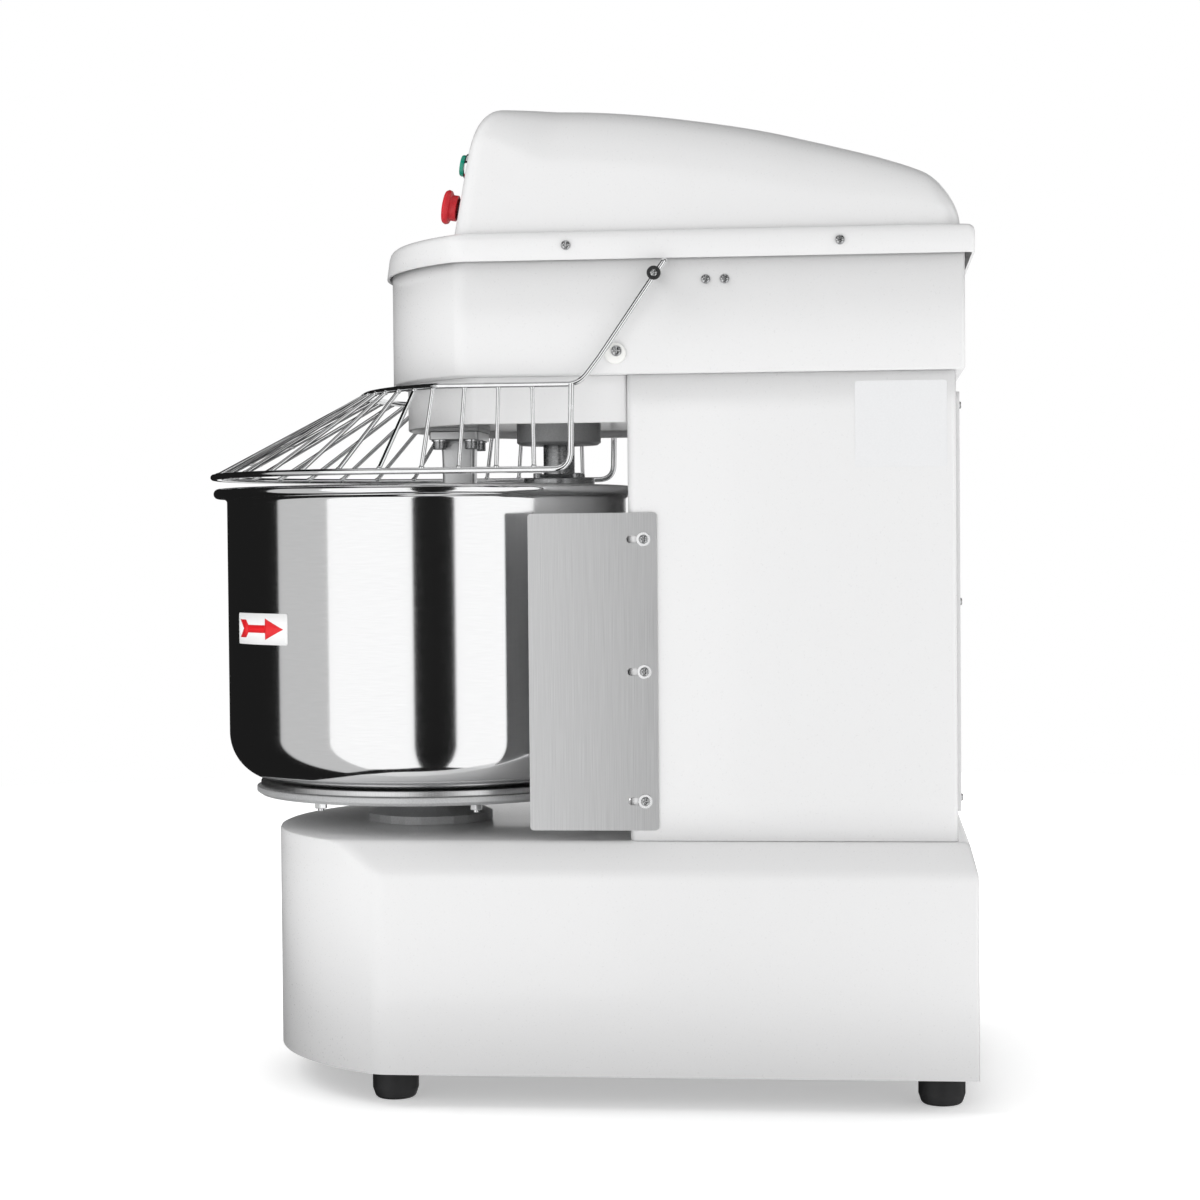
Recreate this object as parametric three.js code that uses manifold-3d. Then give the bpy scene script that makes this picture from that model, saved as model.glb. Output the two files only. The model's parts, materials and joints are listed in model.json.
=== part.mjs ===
// Spiral dough mixer, 60 litre bowl, two speeds. Millimetres, +Z up, the bowl faces -Y.
// The origin lies on the floor, under the middle of the machine's outline.
import * as THREE from 'three';
import { mergeVertices } from 'three/addons/utils/BufferGeometryUtils.js';
import Module from 'manifold-3d';

const wasm = await Module();
wasm.setup();

// ---- driving dimensions ----
const sheet = 3; // sheet metal thickness
const gap = 0.3; // clearance between touching pieces
const bowlY = -195; // bowl axis
const rearY = bowlY + 653;
const spiralY = bowlY + 162; // spiral axis
const breakerY = bowlY + 40; // breaker bar axis
const mainY = bowlY + 395; // main shaft axis
const motorY = bowlY + 540; // motor axis

const foot = { radius: 26.5, height: 39.7, x: 205, frontY: bowlY - 10, rearY: bowlY + 613 };
const base = { half: 265, bottom: 37, shoulder: 264, top: 298, topHalf: 232 };
const baseArc = { centreY: bowlY + 118, radius: 298.3 };
const column = { half: 230, frontY: bowlY + 265, rearY: bowlY + 632, top: 822.7 };
const headArc = { centreY: bowlY + 278, radius: 313.5 };
const head = { half: 241, bottom: 823, top: 975, rearY: bowlY + 642, floor: 5 };
const subArc = { centreY: bowlY + 262.5, radius: 281 };
const sub = { half: 220, bottom: 770, plate: 779.3, plateTop: 787 };
const skirt = { half: 247, bottom: 951, top: 983 };
const skirtArc = { centreY: headArc.centreY, radius: 320 };
const screw = { radius: 5, height: 3.2, z: 967, frontY: bowlY + 200, rearY: bowlY + 505 };
const panelLean = Math.atan(18 / 101); // the control panel leans back

const bowl = { radius: 243, wall: 3, floor: 351.3, corner: 58, rimZ: 697, rimR: 253, bead: 6 };
const table = { radius: 211, bottom: 334, split: 344, top: 351, innerTop: 206, nutCircle: 186 };
const bowlShaft = { radius: 25, bottom: 108 };
const spiral = { shaft: 19, flange: 43, flangeTop: 713, housing: 51, housingBottom: 753, rod: 16 };
const hookSweep = { radius: 55, top: 672, bottom: 392, turns: 1.25 };
const guard = { wire: 4, rib: 2.2, lowerR: 260, lowerZ: 717, upperHalf: 255.5, upperZ: 812, reach: 202 };
const guardStop = { radius: 12, thickness: 4, y: bowlY + 254, z: 846 };
const guardArc = { centreY: bowlY + 250.7, radius: 321.7 };
const pivot = { y: bowlY + 299.4, z: 933, pin: 5, collar: 8, collarLength: 5 };
const ribs = { perSide: 13, onArc: 9, lowerStep: 49.2, upperStep: 32, lowerRear: 42.5, upperRear: 38 };

const pulley = { main: 100, motor: 27, z: 872, width: 26 };
const topChain = { main: 34, mainTeeth: 12, spiral: 85, spiralTeeth: 30, z: 930, width: 10 };
const lowChain = { main: 16, mainTeeth: 8, bowl: 160, bowlTeeth: 80, z: 120, width: 10 };
const mainShaft = { radius: 12.5, bottom: 52, top: 958 };

// ---- materials ----
function finish(color, roughness, metalness) {
  return new THREE.MeshStandardMaterial({ color, roughness, metalness });
}
const paint = finish(0xe9eaea, 0.3, 0);
const polished = finish(0xd0d3d6, 0.1, 1);
const brushed = finish(0xb9bcbf, 0.35, 1);
const chrome = finish(0xdadde0, 0.12, 1);
const castGrey = finish(0x8f9396, 0.55, 0.4);
const darkSteel = finish(0x55585b, 0.4, 0.9);
const blackRubber = finish(0x161616, 0.85, 0);
const blackPlastic = finish(0x1c1c1d, 0.45, 0);
const whitePlastic = finish(0xf4f4f2, 0.4, 0);
const red = finish(0xc9202a, 0.4, 0);
const green = finish(0x0b8f6e, 0.35, 0);
const motorPaint = finish(0x3f5f7d, 0.5, 0.1);

// ---- geometry helpers ----
const machine = new THREE.Group();

function add(name, geometry, material) {
  const mesh = new THREE.Mesh(geometry, material);
  mesh.name = name;
  machine.add(mesh);
  return mesh;
}

function toSolid(geometry) {
  const bare = geometry.clone();
  bare.deleteAttribute('normal');
  bare.deleteAttribute('uv');
  const merged = mergeVertices(bare, 1e-4);
  const vertProperties = new Float32Array(merged.attributes.position.array);
  const triVerts = new Uint32Array(merged.index.array);
  return new wasm.Manifold(new wasm.Mesh({ numProp: 3, vertProperties, triVerts }));
}

function toGeometry(solid) {
  const mesh = solid.getMesh();
  const geometry = new THREE.BufferGeometry();
  geometry.setAttribute('position', new THREE.BufferAttribute(mesh.vertProperties, 3));
  geometry.setIndex(new THREE.BufferAttribute(mesh.triVerts, 1));
  return geometry;
}

function cut(geometry, ...tools) {
  let solid = toSolid(geometry);
  for (const tool of tools) solid = solid.subtract(toSolid(tool));
  return toGeometry(solid);
}

function join(first, ...others) {
  let solid = toSolid(first);
  for (const other of others) solid = solid.add(toSolid(other));
  return toGeometry(solid);
}

function overlap(first, ...others) {
  let solid = toSolid(first);
  for (const other of others) solid = solid.intersect(toSolid(other));
  return toGeometry(solid);
}

function extrude(shape, length, curveSegments = 12) {
  return new THREE.ExtrudeGeometry(shape, { depth: length, bevelEnabled: false, curveSegments });
}

// A plan outline raised from z0 to z1.
function raise(shape, z0, z1, curveSegments) {
  return extrude(shape, z1 - z0, curveSegments).translate(0, 0, z0);
}

// A section drawn in X and Z, run along Y.
function alongY(points, y0, y1) {
  const shape = new THREE.Shape(points.map(([x, z]) => new THREE.Vector2(x, z)));
  return extrude(shape, y1 - y0).rotateX(Math.PI / 2).translate(0, y1, 0);
}

// A section drawn in Y and Z, run along X.
function alongX(points, x0, x1) {
  const shape = new THREE.Shape(points.map(([y, z]) => new THREE.Vector2(y, z)));
  const turn = new THREE.Matrix4().makeBasis(
    new THREE.Vector3(0, 1, 0), new THREE.Vector3(0, 0, 1), new THREE.Vector3(1, 0, 0));
  return extrude(shape, x1 - x0).applyMatrix4(turn).translate(x0, 0, 0);
}

function block(x0, x1, y0, y1, z0, z1) {
  const box = new THREE.BoxGeometry(x1 - x0, y1 - y0, z1 - z0);
  return box.translate((x0 + x1) / 2, (y0 + y1) / 2, (z0 + z1) / 2);
}

// An upright cylinder.
function post(x, y, z0, z1, radius, segments = 24) {
  const cylinder = new THREE.CylinderGeometry(radius, radius, z1 - z0, segments);
  return cylinder.rotateX(Math.PI / 2).translate(x, y, (z0 + z1) / 2);
}

// A cylinder along X.
function rod(x0, x1, y, z, radius, segments = 20) {
  const cylinder = new THREE.CylinderGeometry(radius, radius, x1 - x0, segments);
  return cylinder.rotateZ(-Math.PI / 2).translate((x0 + x1) / 2, y, z);
}

// A turned piece about an upright axis; the profile holds [radius, z] pairs.
function turned(profile, y, segments = 24) {
  const points = profile.map(([r, z]) => new THREE.Vector2(r, z));
  return new THREE.LatheGeometry(points, segments).rotateX(Math.PI / 2).translate(0, y, 0);
}

// A round bar swept along a curve.
function sweep(curve, radius, steps, sides = 8) {
  const section = new THREE.Shape();
  for (let i = 0; i <= sides; i += 1) {
    const angle = (i / sides) * Math.PI * 2;
    const x = Math.cos(angle) * radius;
    const y = Math.sin(angle) * radius;
    if (i === 0) section.moveTo(x, y);
    else section.lineTo(x, y);
  }
  return new THREE.ExtrudeGeometry(section, { steps, bevelEnabled: false, extrudePath: curve });
}

// A plan outline with straight sides, a square rear and a round front.
function dShape(half, arc, rear, inset = 0) {
  const side = half - inset;
  const radius = arc.radius - inset;
  const swing = Math.asin(side / radius);
  const shape = new THREE.Shape();
  shape.moveTo(side, rear - inset);
  shape.lineTo(-side, rear - inset);
  shape.absarc(0, arc.centreY, radius, -Math.PI / 2 - swing, -Math.PI / 2 + swing, false);
  shape.closePath();
  return shape;
}

// The loop of a belt or chain round two wheels on the machine's centre line.
function loopShape(yA, radiusA, yB, radiusB) {
  const lean = Math.acos((radiusA - radiusB) / (yB - yA));
  const shape = new THREE.Shape();
  shape.absarc(0, yA, radiusA, Math.PI / 2 + lean, Math.PI / 2 - lean + Math.PI * 2, false);
  shape.absarc(0, yB, radiusB, Math.PI / 2 - lean, Math.PI / 2 + lean, false);
  shape.closePath();
  return shape;
}

function loopBand(yA, radiusA, yB, radiusB, z0, z1, thickness) {
  const facets = 10;
  const slack = 1.018; // keeps the flats of the loop clear of the wheels
  const clear = 0.6;
  const a = radiusA * slack;
  const b = radiusB * slack;
  const outer = raise(loopShape(yA, a + thickness, yB, b + thickness), z0, z1, facets);
  const inner = raise(loopShape(yA, a + clear, yB, b + clear), z0 - 1, z1 + 1, facets);
  return cut(outer, inner);
}

function sprocketShape(radius, teeth) {
  const shape = new THREE.Shape();
  const depth = 3;
  for (let i = 0; i < teeth; i += 1) {
    const start = (i / teeth) * Math.PI * 2;
    const step = (Math.PI * 2) / teeth;
    const corners = [[radius - depth, 0], [radius, 0.3], [radius, 0.5], [radius - depth, 0.8]];
    for (const [r, part] of corners) {
      const angle = start + step * part;
      const x = Math.cos(angle) * r;
      const y = Math.sin(angle) * r;
      if (i === 0 && part === 0) shape.moveTo(x, y);
      else shape.lineTo(x, y);
    }
  }
  shape.closePath();
  return shape;
}

function sprocket(y, radius, teeth, z0, width, bore, hub) {
  const wheel = raise(sprocketShape(radius, teeth), z0, z0 + width).translate(0, y, 0);
  const boss = post(0, y, z0 - 12, z0 + 1, hub, 24);
  return cut(join(wheel, boss), post(0, y, z0 - 20, z0 + width + 5, bore, 24));
}

// ---- base ----
function baseSolid(inset) {
  const low = base.bottom - (inset ? 5 : 0);
  const plan = raise(dShape(base.half, baseArc, rearY, inset), low, base.top - inset, 20);
  const wide = base.half - inset;
  const narrow = base.topHalf - inset;
  const shoulder = base.shoulder - inset / 2;
  const section = [[-wide, low], [wide, low], [wide, shoulder], [narrow, base.top - inset],
    [-narrow, base.top - inset], [-wide, shoulder]];
  const rear = rearY - inset;
  const side = [[-600, low], [rear, low], [rear, shoulder], [rear - 9, base.top - inset],
    [-600, base.top - inset]];
  return overlap(plan, alongY(section, -600, 600), alongX(side, -600, 600));
}

function makeBase() {
  const shaftHole = post(0, bowlY, 280, 310, 51, 32);
  const driveHole = block(-150, 150, mainY - 60, column.rearY - 60, 280, 310);
  add('base_shell', cut(baseSolid(0), baseSolid(sheet), shaftHole, driveHole), paint);

  const plan = raise(dShape(base.half, baseArc, rearY, sheet + gap), 40, 46, 20);
  add('chassis_plate', plan, darkSteel);

  const pads = [['front_left', -1, foot.frontY], ['front_right', 1, foot.frontY],
    ['rear_left', -1, foot.rearY], ['rear_right', 1, foot.rearY]];
  const edge = 6;
  const profile = [[0, 0], [foot.radius - edge, 0], [foot.radius - 2, 2], [foot.radius, edge],
    [foot.radius, foot.height], [0, foot.height]];
  for (const [place, side, y] of pads) {
    add(`foot_${place}`, turned(profile, 0, 16).translate(side * foot.x, y, 0), blackRubber);
  }
}

// ---- column ----
function makeColumn() {
  const { half, frontY, rearY: backY } = column;
  const outer = block(-half, half, frontY, backY, base.top + gap, column.top);
  const inside = half - sheet;
  const hollow = block(-inside, inside, frontY + sheet, backY - sheet, 200, 900);
  const hatch = block(-200, 200, backY - 20, backY + 20, 350, 780);
  const inlet = rod(-column.half - 20, -column.half + 30, bowlY + 560, 380, 9 + gap, 20);
  add('column_shell', cut(outer, hollow, hatch, inlet), paint);
  add('rear_panel', block(-214, 214, column.rearY + gap, column.rearY + gap + 4, 330, 800), paint);

  for (const [place, x] of [['left', -1], ['right', 1]]) {
    const face = x * (column.half + gap);
    const outside = face + x * 2;
    const front = bowlY + 152;
    const rear = bowlY + 298;
    const low = Math.min(face, outside);
    const high = Math.max(face, outside);
    let plate = block(low, high, front, rear, 310, 668);
    for (const z of [343, 489, 638]) {
      const slot = block(low - 2, high + 2, bowlY + 268, bowlY + 283, z - 4, z + 4);
      plate = cut(plate, join(slot, rod(low - 2, high + 2, bowlY + 283, z, 4, 16)));
    }
    add(`side_plate_${place}`, plate, brushed);
  }
}

// ---- head ----
function makeHead() {
  const shell = raise(dShape(head.half, headArc, head.rearY), head.bottom, head.top, 18);
  const hollow = raise(dShape(head.half, headArc, head.rearY, sheet), head.bottom + head.floor,
    head.top + 5, 18);
  const housingHole = post(0, spiralY, 800, 850, spiral.housing + gap, 32);
  const shaftHole = post(0, mainY, 800, 850, 22, 24);
  const motorHole = post(0, motorY, 800, 850, 22, 24);
  const pinHole = rod(-300, 300, pivot.y, pivot.z, pivot.pin + 0.5, 16);
  add('head_box', cut(shell, hollow, housingHole, shaftHole, motorHole, pinHole), paint);

  const frontOfColumn = column.frontY - gap;
  const outline = dShape(sub.half, subArc, frontOfColumn);
  const pocket = dShape(sub.half, subArc, frontOfColumn, 4);
  const body = raise(outline, sub.bottom, column.top, 14);
  const lower = raise(pocket, sub.bottom - 5, sub.plate, 14);
  const upper = raise(pocket, sub.plateTop, column.top + 5, 14);
  const bore = post(0, spiralY, 760, 800, spiral.housing + gap, 32);
  add('mixing_head_frame', cut(body, lower, upper, bore), paint);
}

// The cover's cross-section at one station: rounded shoulders over upright sides.
function coverSection(half, top, round, floor) {
  const points = [[half, floor]];
  const steps = 6;
  const lean = 0.06;
  for (let i = 0; i <= steps; i += 1) {
    const angle = (i / steps) * (Math.PI / 2);
    const side = half - lean * (top - round - floor);
    points.push([side - round + Math.cos(angle) * round, top - round + Math.sin(angle) * round]);
  }
  const mirrored = points.map(([x, z]) => [-x, z]).reverse();
  return points.concat(mirrored);
}

// Skins a row of equal-length sections, each at its own Y, and closes both ends.
function loft(sections) {
  const position = [];
  const index = [];
  const count = sections[0].points.length;
  for (const { y, points } of sections) {
    for (const [x, z] of points) position.push(x, y, z);
  }
  for (let s = 0; s + 1 < sections.length; s += 1) {
    for (let i = 0; i < count; i += 1) {
      const a = s * count + i;
      const b = s * count + ((i + 1) % count);
      index.push(a, a + count, b, b, a + count, b + count);
    }
  }
  const last = (sections.length - 1) * count;
  for (let i = 1; i + 1 < count; i += 1) {
    index.push(0, i, i + 1);
    index.push(last, last + i + 1, last + i);
  }
  const geometry = new THREE.BufferGeometry();
  geometry.setAttribute('position', new THREE.BufferAttribute(new Float32Array(position), 3));
  geometry.setIndex(index);
  return geometry;
}

// Stations of the dome: distance behind the bowl axis, height, half-width and shoulder radius.
const domeStations = [
  [70, 985, 222, 1], [88, 1085, 230, 18], [96, 1108, 232, 28], [112, 1126, 234, 45],
  [150, 1137, 235, 62], [205, 1140, 235, 70], [327, 1129, 235, 70], [447, 1107, 235, 62],
  [565, 1072, 235, 48], [610, 1052, 234, 36], [630, 1026, 232, 22], [638, 985, 226, 1],
];

function domeSolid(inset) {
  const floor = skirt.top - 1 - (inset ? 40 : 0);
  const first = domeStations[0][0];
  const last = domeStations[domeStations.length - 1][0];
  const sections = domeStations.map(([y, top, half, round]) => {
    const depth = Math.min(Math.max(y, first + inset * 1.2), last - inset * 1.2);
    const lid = Math.max(top - inset, skirt.top - inset);
    return { y: bowlY + depth, points: coverSection(half - inset, lid, round, floor) };
  });
  return loft(sections);
}

function makeCover() {
  const skirtBlock = raise(dShape(skirt.half, skirtArc, rearY), skirt.bottom, skirt.top, 18);
  const clear = 1;
  const headOutline = dShape(head.half, headArc, head.rearY, -clear);
  const recess = raise(headOutline, skirt.bottom - 5, skirt.top - sheet, 18);
  const panelHoles = controls.map(({ x, z }) => onPanel(cylinderY(11.2, -30, 30), x, z));
  const cover = cut(join(skirtBlock, domeSolid(0)), recess, domeSolid(sheet), ...panelHoles);
  add('top_cover', cover, paint);

  for (const [place, side] of [['left', -1], ['right', 1]]) {
    const face = side * (skirt.half + gap);
    const tip = face + side * screw.height;
    for (const [end, y] of [['front', screw.frontY], ['rear', screw.rearY]]) {
      const head = rod(Math.min(face, tip), Math.max(face, tip), y, screw.z, screw.radius, 12);
      add(`cover_screw_${place}_${end}`, head, chrome);
    }
  }
}

// ---- controls on the leaning panel ----
const controls = [
  { name: 'start', x: 185, z: 1065.5 },
  { name: 'stop', x: 185, z: 1017 },
  { name: 'speed', x: -185, z: 1045 },
];

// A cylinder whose axis leaves the panel towards -Y, from a to b outwards.
function cylinderY(radius, a, b, segments = 18) {
  return new THREE.CylinderGeometry(radius, radius, b - a, segments).translate(0, -(a + b) / 2, 0);
}

function turnedY(profile, segments = 18) {
  const points = profile.map(([r, out]) => new THREE.Vector2(r, -out)).reverse();
  return new THREE.LatheGeometry(points, segments);
}

function onPanel(geometry, x, z) {
  const y = bowlY + 70 + (z - 985) * Math.tan(panelLean);
  return geometry.clone().rotateX(-panelLean).translate(x, y, z);
}

function makeControls() {
  const [start, stop, speed] = controls;
  const inner = -28;
  const cup = [[9.2, inner], [10.9, inner], [10.9, gap], [14.5, gap], [14.5, 4.4], [13.6, 5.8],
    [12.8, 5.8], [12.8, 1.3], [9.2, 1.3], [9.2, inner]];
  add('start_button_bezel', onPanel(turnedY(cup), start.x, start.z), chrome);
  const cap = [[0, -12], [8.8, -12], [8.8, 5.4], [12.3, 5.4], [12.3, 9.7], [11.2, 11], [0, 11.6]];
  add('start_button', onPanel(turnedY(cap), start.x, start.z), green);

  const collar = [[6.2, inner], [10.9, inner], [10.9, gap], [12, gap], [12, 5], [6.2, 5],
    [6.2, inner]];
  add('stop_button_collar', onPanel(turnedY(collar), stop.x, stop.z), blackPlastic);
  const mushroom = [[0, -20], [5.8, -20], [5.8, 11], [12.4, 11], [12.4, 6.5], [14.8, 6.5],
    [14.8, 14], [19, 15.5], [20, 18.5], [18.5, 22], [12, 23.5], [0, 24]];
  add('stop_button', onPanel(turnedY(mushroom), stop.x, stop.z), red);

  const ring = [[9.2, inner], [10.9, inner], [10.9, 0.5], [15, 0.5], [15, 3.5], [13.5, 5], [9.2, 5],
    [9.2, inner]];
  add('speed_selector_bezel', onPanel(turnedY(ring), speed.x, speed.z), blackPlastic);
  const dial = turnedY([[0, -14], [8.8, -14], [8.8, 5.5], [13, 5.5], [12, 12], [0, 12]]);
  const grip = new THREE.BoxGeometry(7, 12, 24).translate(0, -17, 0);
  add('speed_selector_knob', onPanel(join(dial, grip), speed.x, speed.z), blackPlastic);
}

// ---- bowl and its turntable ----
function makeBowl() {
  const { radius, wall, floor, corner, rimZ, rimR, bead } = bowl;
  const profile = [[0, floor], [radius - corner, floor]];
  const bends = 4;
  for (let i = 1; i <= bends; i += 1) {
    const angle = (i / bends) * (Math.PI / 2);
    const out = Math.sin(angle) * corner;
    profile.push([radius - corner + out, floor + corner - Math.cos(angle) * corner]);
  }
  const beadSteps = 5;
  for (let i = 0; i <= beadSteps; i += 1) {
    const angle = -Math.PI * 0.75 + (i / beadSteps) * Math.PI * 1.5;
    profile.push([rimR + Math.cos(angle) * bead, rimZ + Math.sin(angle) * bead]);
  }
  profile.push([radius - wall, rimZ + 1]);
  const bend = corner - wall;
  for (let i = bends; i >= 1; i -= 1) {
    const angle = (i / bends) * (Math.PI / 2);
    const out = Math.sin(angle) * bend;
    profile.push([radius - corner + out, floor + corner - Math.cos(angle) * bend]);
  }
  profile.push([radius - corner, floor + wall], [0, floor + wall]);
  add('bowl', turned(profile, bowlY, 40), polished);

  const ring = [[150, table.split + gap], [table.innerTop, table.split + gap], [table.innerTop, table.top],
    [150, table.top], [150, table.split + gap]];
  add('bowl_seat_ring', turned(ring, bowlY, 40), brushed);
  const pieces = [post(0, bowlY, 322, table.bottom + 1, 44, 32)];
  const nuts = 6;
  for (let i = 0; i < nuts; i += 1) {
    const angle = ((i + 0.93) / nuts) * Math.PI * 2;
    const x = Math.sin(angle) * table.nutCircle;
    const y = bowlY - Math.cos(angle) * table.nutCircle;
    pieces.push(post(x, y, 325, table.bottom + 1, 7.5, 6));
  }
  const plate = post(0, bowlY, table.bottom, table.split, table.radius, 40);
  add('bowl_turntable', join(plate, ...pieces), castGrey);

  const shaft = post(0, bowlY, bowlShaft.bottom, 322 - gap, bowlShaft.radius, 28);
  add('bowl_shaft', shaft, darkSteel);
  const housing = [[bowlShaft.radius + gap, 200], [50, 200], [50, base.top + gap], [76, base.top + gap],
    [76, 308], [54, 318], [bowlShaft.radius + gap, 318], [bowlShaft.radius + gap, 200]];
  add('bowl_bearing_housing', turned(housing, bowlY, 24), castGrey);
  add('bowl_sprocket', sprocket(bowlY, lowChain.bowl, lowChain.bowlTeeth, lowChain.z, lowChain.width,
    bowlShaft.radius + gap, 50), darkSteel);
}

// ---- spiral and breaker bar ----
class HookCurve extends THREE.Curve {
  getPoint(t, target = new THREE.Vector3()) {
    const angle = t * hookSweep.turns * Math.PI * 2 - Math.PI / 2;
    const z = hookSweep.top + (hookSweep.bottom - hookSweep.top) * t;
    const swell = Math.sin(Math.min(t / 0.3, 1) * (Math.PI / 2));
    const tuck = t > 0.8 ? 1 - ((t - 0.8) / 0.2) * 0.42 : 1;
    const radius = hookSweep.radius * swell * tuck;
    return target.set(Math.cos(angle) * radius, spiralY + Math.sin(angle) * radius, z);
  }
}

function makeSpiral() {
  const { shaft, flange, flangeTop, housing, housingBottom, rod: rodRadius } = spiral;
  const sleeve = [[shaft + 3, housingBottom], [housing - 3, housingBottom], [housing, housingBottom + 3],
    [housing, 890], [shaft + 3, 890], [shaft + 3, housingBottom]];
  add('spiral_bearing_housing', turned(sleeve, spiralY, 28), castGrey);
  for (const [place, z] of [['lower', 762], ['upper', 862]]) {
    const ring = [[shaft + gap, z], [shaft + 3 - gap, z], [shaft + 3 - gap, z + 20], [shaft + gap, z + 20],
      [shaft + gap, z]];
    add(`spiral_bearing_${place}`, turned(ring, spiralY, 20), chrome);
  }
  const axle = [[0, flangeTop - 13], [flange, flangeTop - 13], [flange, flangeTop], [shaft, flangeTop],
    [shaft, topChain.z + topChain.width + 8], [0, topChain.z + topChain.width + 8]];
  add('spiral_shaft', turned(axle, spiralY, 24), darkSteel);
  add('spiral_sprocket', sprocket(spiralY, topChain.spiral, topChain.spiralTeeth, topChain.z,
    topChain.width, shaft + gap, 34), darkSteel);

  const top = flangeTop - 13 - gap;
  const disc = post(0, spiralY, top - 12, top, flange, 32);
  const neck = post(0, spiralY, hookSweep.top - 6, top - 11, 22, 24);
  const arm = sweep(new HookCurve(), rodRadius, 34, 10);
  const tip = new THREE.SphereGeometry(rodRadius - 0.2, 10, 6);
  const end = new HookCurve().getPoint(1);
  tip.translate(end.x, end.y, end.z);
  add('spiral_hook', join(disc, neck, arm, tip), polished);
}

function makeBreaker() {
  const boltX = 33;
  const boltY = 19.5;
  const plate = block(-50, 50, breakerY - 31, breakerY + 31, 770, sub.plate - gap);
  add('breaker_adapter_plate', plate, castGrey);
  const flange = block(-48, 48, breakerY - 30, breakerY + 30, 760, 770 - gap);
  const bar = new THREE.CylinderGeometry(15, 20, 372, 24).rotateX(-Math.PI / 2).scale(0.75, 1, 1);
  bar.translate(0, breakerY, 390 + 186);
  const pieces = [flange];
  for (const [sideX, sideY] of [[-1, -1], [-1, 1], [1, -1], [1, 1]]) {
    pieces.push(post(sideX * boltX, breakerY + sideY * boltY, 748, 761, 8, 18));
  }
  add('breaker_bar', join(bar, ...pieces), brushed);
}

// ---- wire guard ----
// A point on the lower wire, at an arc length from its front middle.
function lowerPoint(s) {
  const quarter = guard.lowerR * (Math.PI / 2);
  const side = Math.sign(s) || 1;
  const along = Math.abs(s);
  if (along <= quarter) {
    const angle = along / guard.lowerR;
    const x = side * Math.sin(angle) * guard.lowerR;
    return new THREE.Vector3(x, bowlY - Math.cos(angle) * guard.lowerR, guard.lowerZ);
  }
  return new THREE.Vector3(side * guard.lowerR, bowlY + along - quarter, guard.lowerZ);
}

// A point on the upper wire, at an arc length from its front middle.
function upperPoint(s) {
  const swing = Math.asin(guard.upperHalf / guardArc.radius);
  const bend = guardArc.radius * swing;
  const side = Math.sign(s) || 1;
  const along = Math.abs(s);
  const angle = Math.min(along, bend) / guardArc.radius;
  const x = side * Math.sin(angle) * guardArc.radius;
  const y = guardArc.centreY - Math.cos(angle) * guardArc.radius;
  return new THREE.Vector3(x, y + Math.max(0, along - bend), guard.upperZ);
}

function wire(points, radius, sides) {
  return sweep(new THREE.CatmullRomCurve3(points, false, 'centripetal'), radius, points.length, sides);
}

function samples(pointAt, reach, count) {
  const list = [];
  for (let i = -count; i <= count; i += 1) list.push(pointAt((i / count) * reach));
  return list;
}

function makeGuard() {
  const lowerReach = guard.lowerR * (Math.PI / 2) + guard.reach;
  const swing = Math.asin(guard.upperHalf / guardArc.radius) * guardArc.radius;
  const arcEndY = guardArc.centreY - Math.sqrt(guardArc.radius ** 2 - guard.upperHalf ** 2);
  const upperReach = swing + bowlY + guard.reach - arcEndY;
  const lower = wire(samples(lowerPoint, lowerReach, 16), guard.wire, 6);
  const upper = wire(samples(upperPoint, upperReach, 12), guard.wire, 6);
  const pieces = [upper];
  for (const side of [-1, 1]) {
    const x = side * guard.upperHalf;
    const arm = [[guard.reach - 6, guard.upperZ], [216, 819], [238, 847], [290, 920], [312, 945]];
    pieces.push(wire(arm.map(([y, z]) => new THREE.Vector3(x, bowlY + y, z)), guard.wire, 6));
  }
  for (let k = -ribs.perSide; k <= ribs.perSide; k += 1) {
    const side = Math.sign(k);
    const onArc = Math.min(Math.abs(k), ribs.onArc);
    const beyond = Math.abs(k) - onArc;
    const low = lowerPoint(side * (onArc * ribs.lowerStep + beyond * ribs.lowerRear));
    const high = upperPoint(side * (onArc * ribs.upperStep + beyond * ribs.upperRear));
    pieces.push(sweep(new THREE.LineCurve3(low, high), guard.rib, 1, 4));
  }
  add('wire_guard', join(lower, ...pieces), chrome);

  for (const [place, side] of [['left', -1], ['right', 1]]) {
    const inner = side * (head.half - 16);
    const outer = side * (guard.upperHalf - guard.wire - gap);
    add(`guard_pin_${place}`, rod(Math.min(inner, outer), Math.max(inner, outer), pivot.y, pivot.z,
      pivot.pin, 12), chrome);
    const face = side * (guard.upperHalf + guard.wire + gap);
    const tip = face + side * pivot.collarLength;
    add(`guard_collar_${place}`, rod(Math.min(face, tip), Math.max(face, tip), pivot.y, pivot.z,
      pivot.collar, 16), blackPlastic);
    const seat = side * (head.half + gap);
    const cap = seat + side * guardStop.thickness;
    add(`guard_stop_${place}`, rod(Math.min(seat, cap), Math.max(seat, cap), guardStop.y, guardStop.z,
      guardStop.radius, 18), whitePlastic);
  }
}

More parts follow.
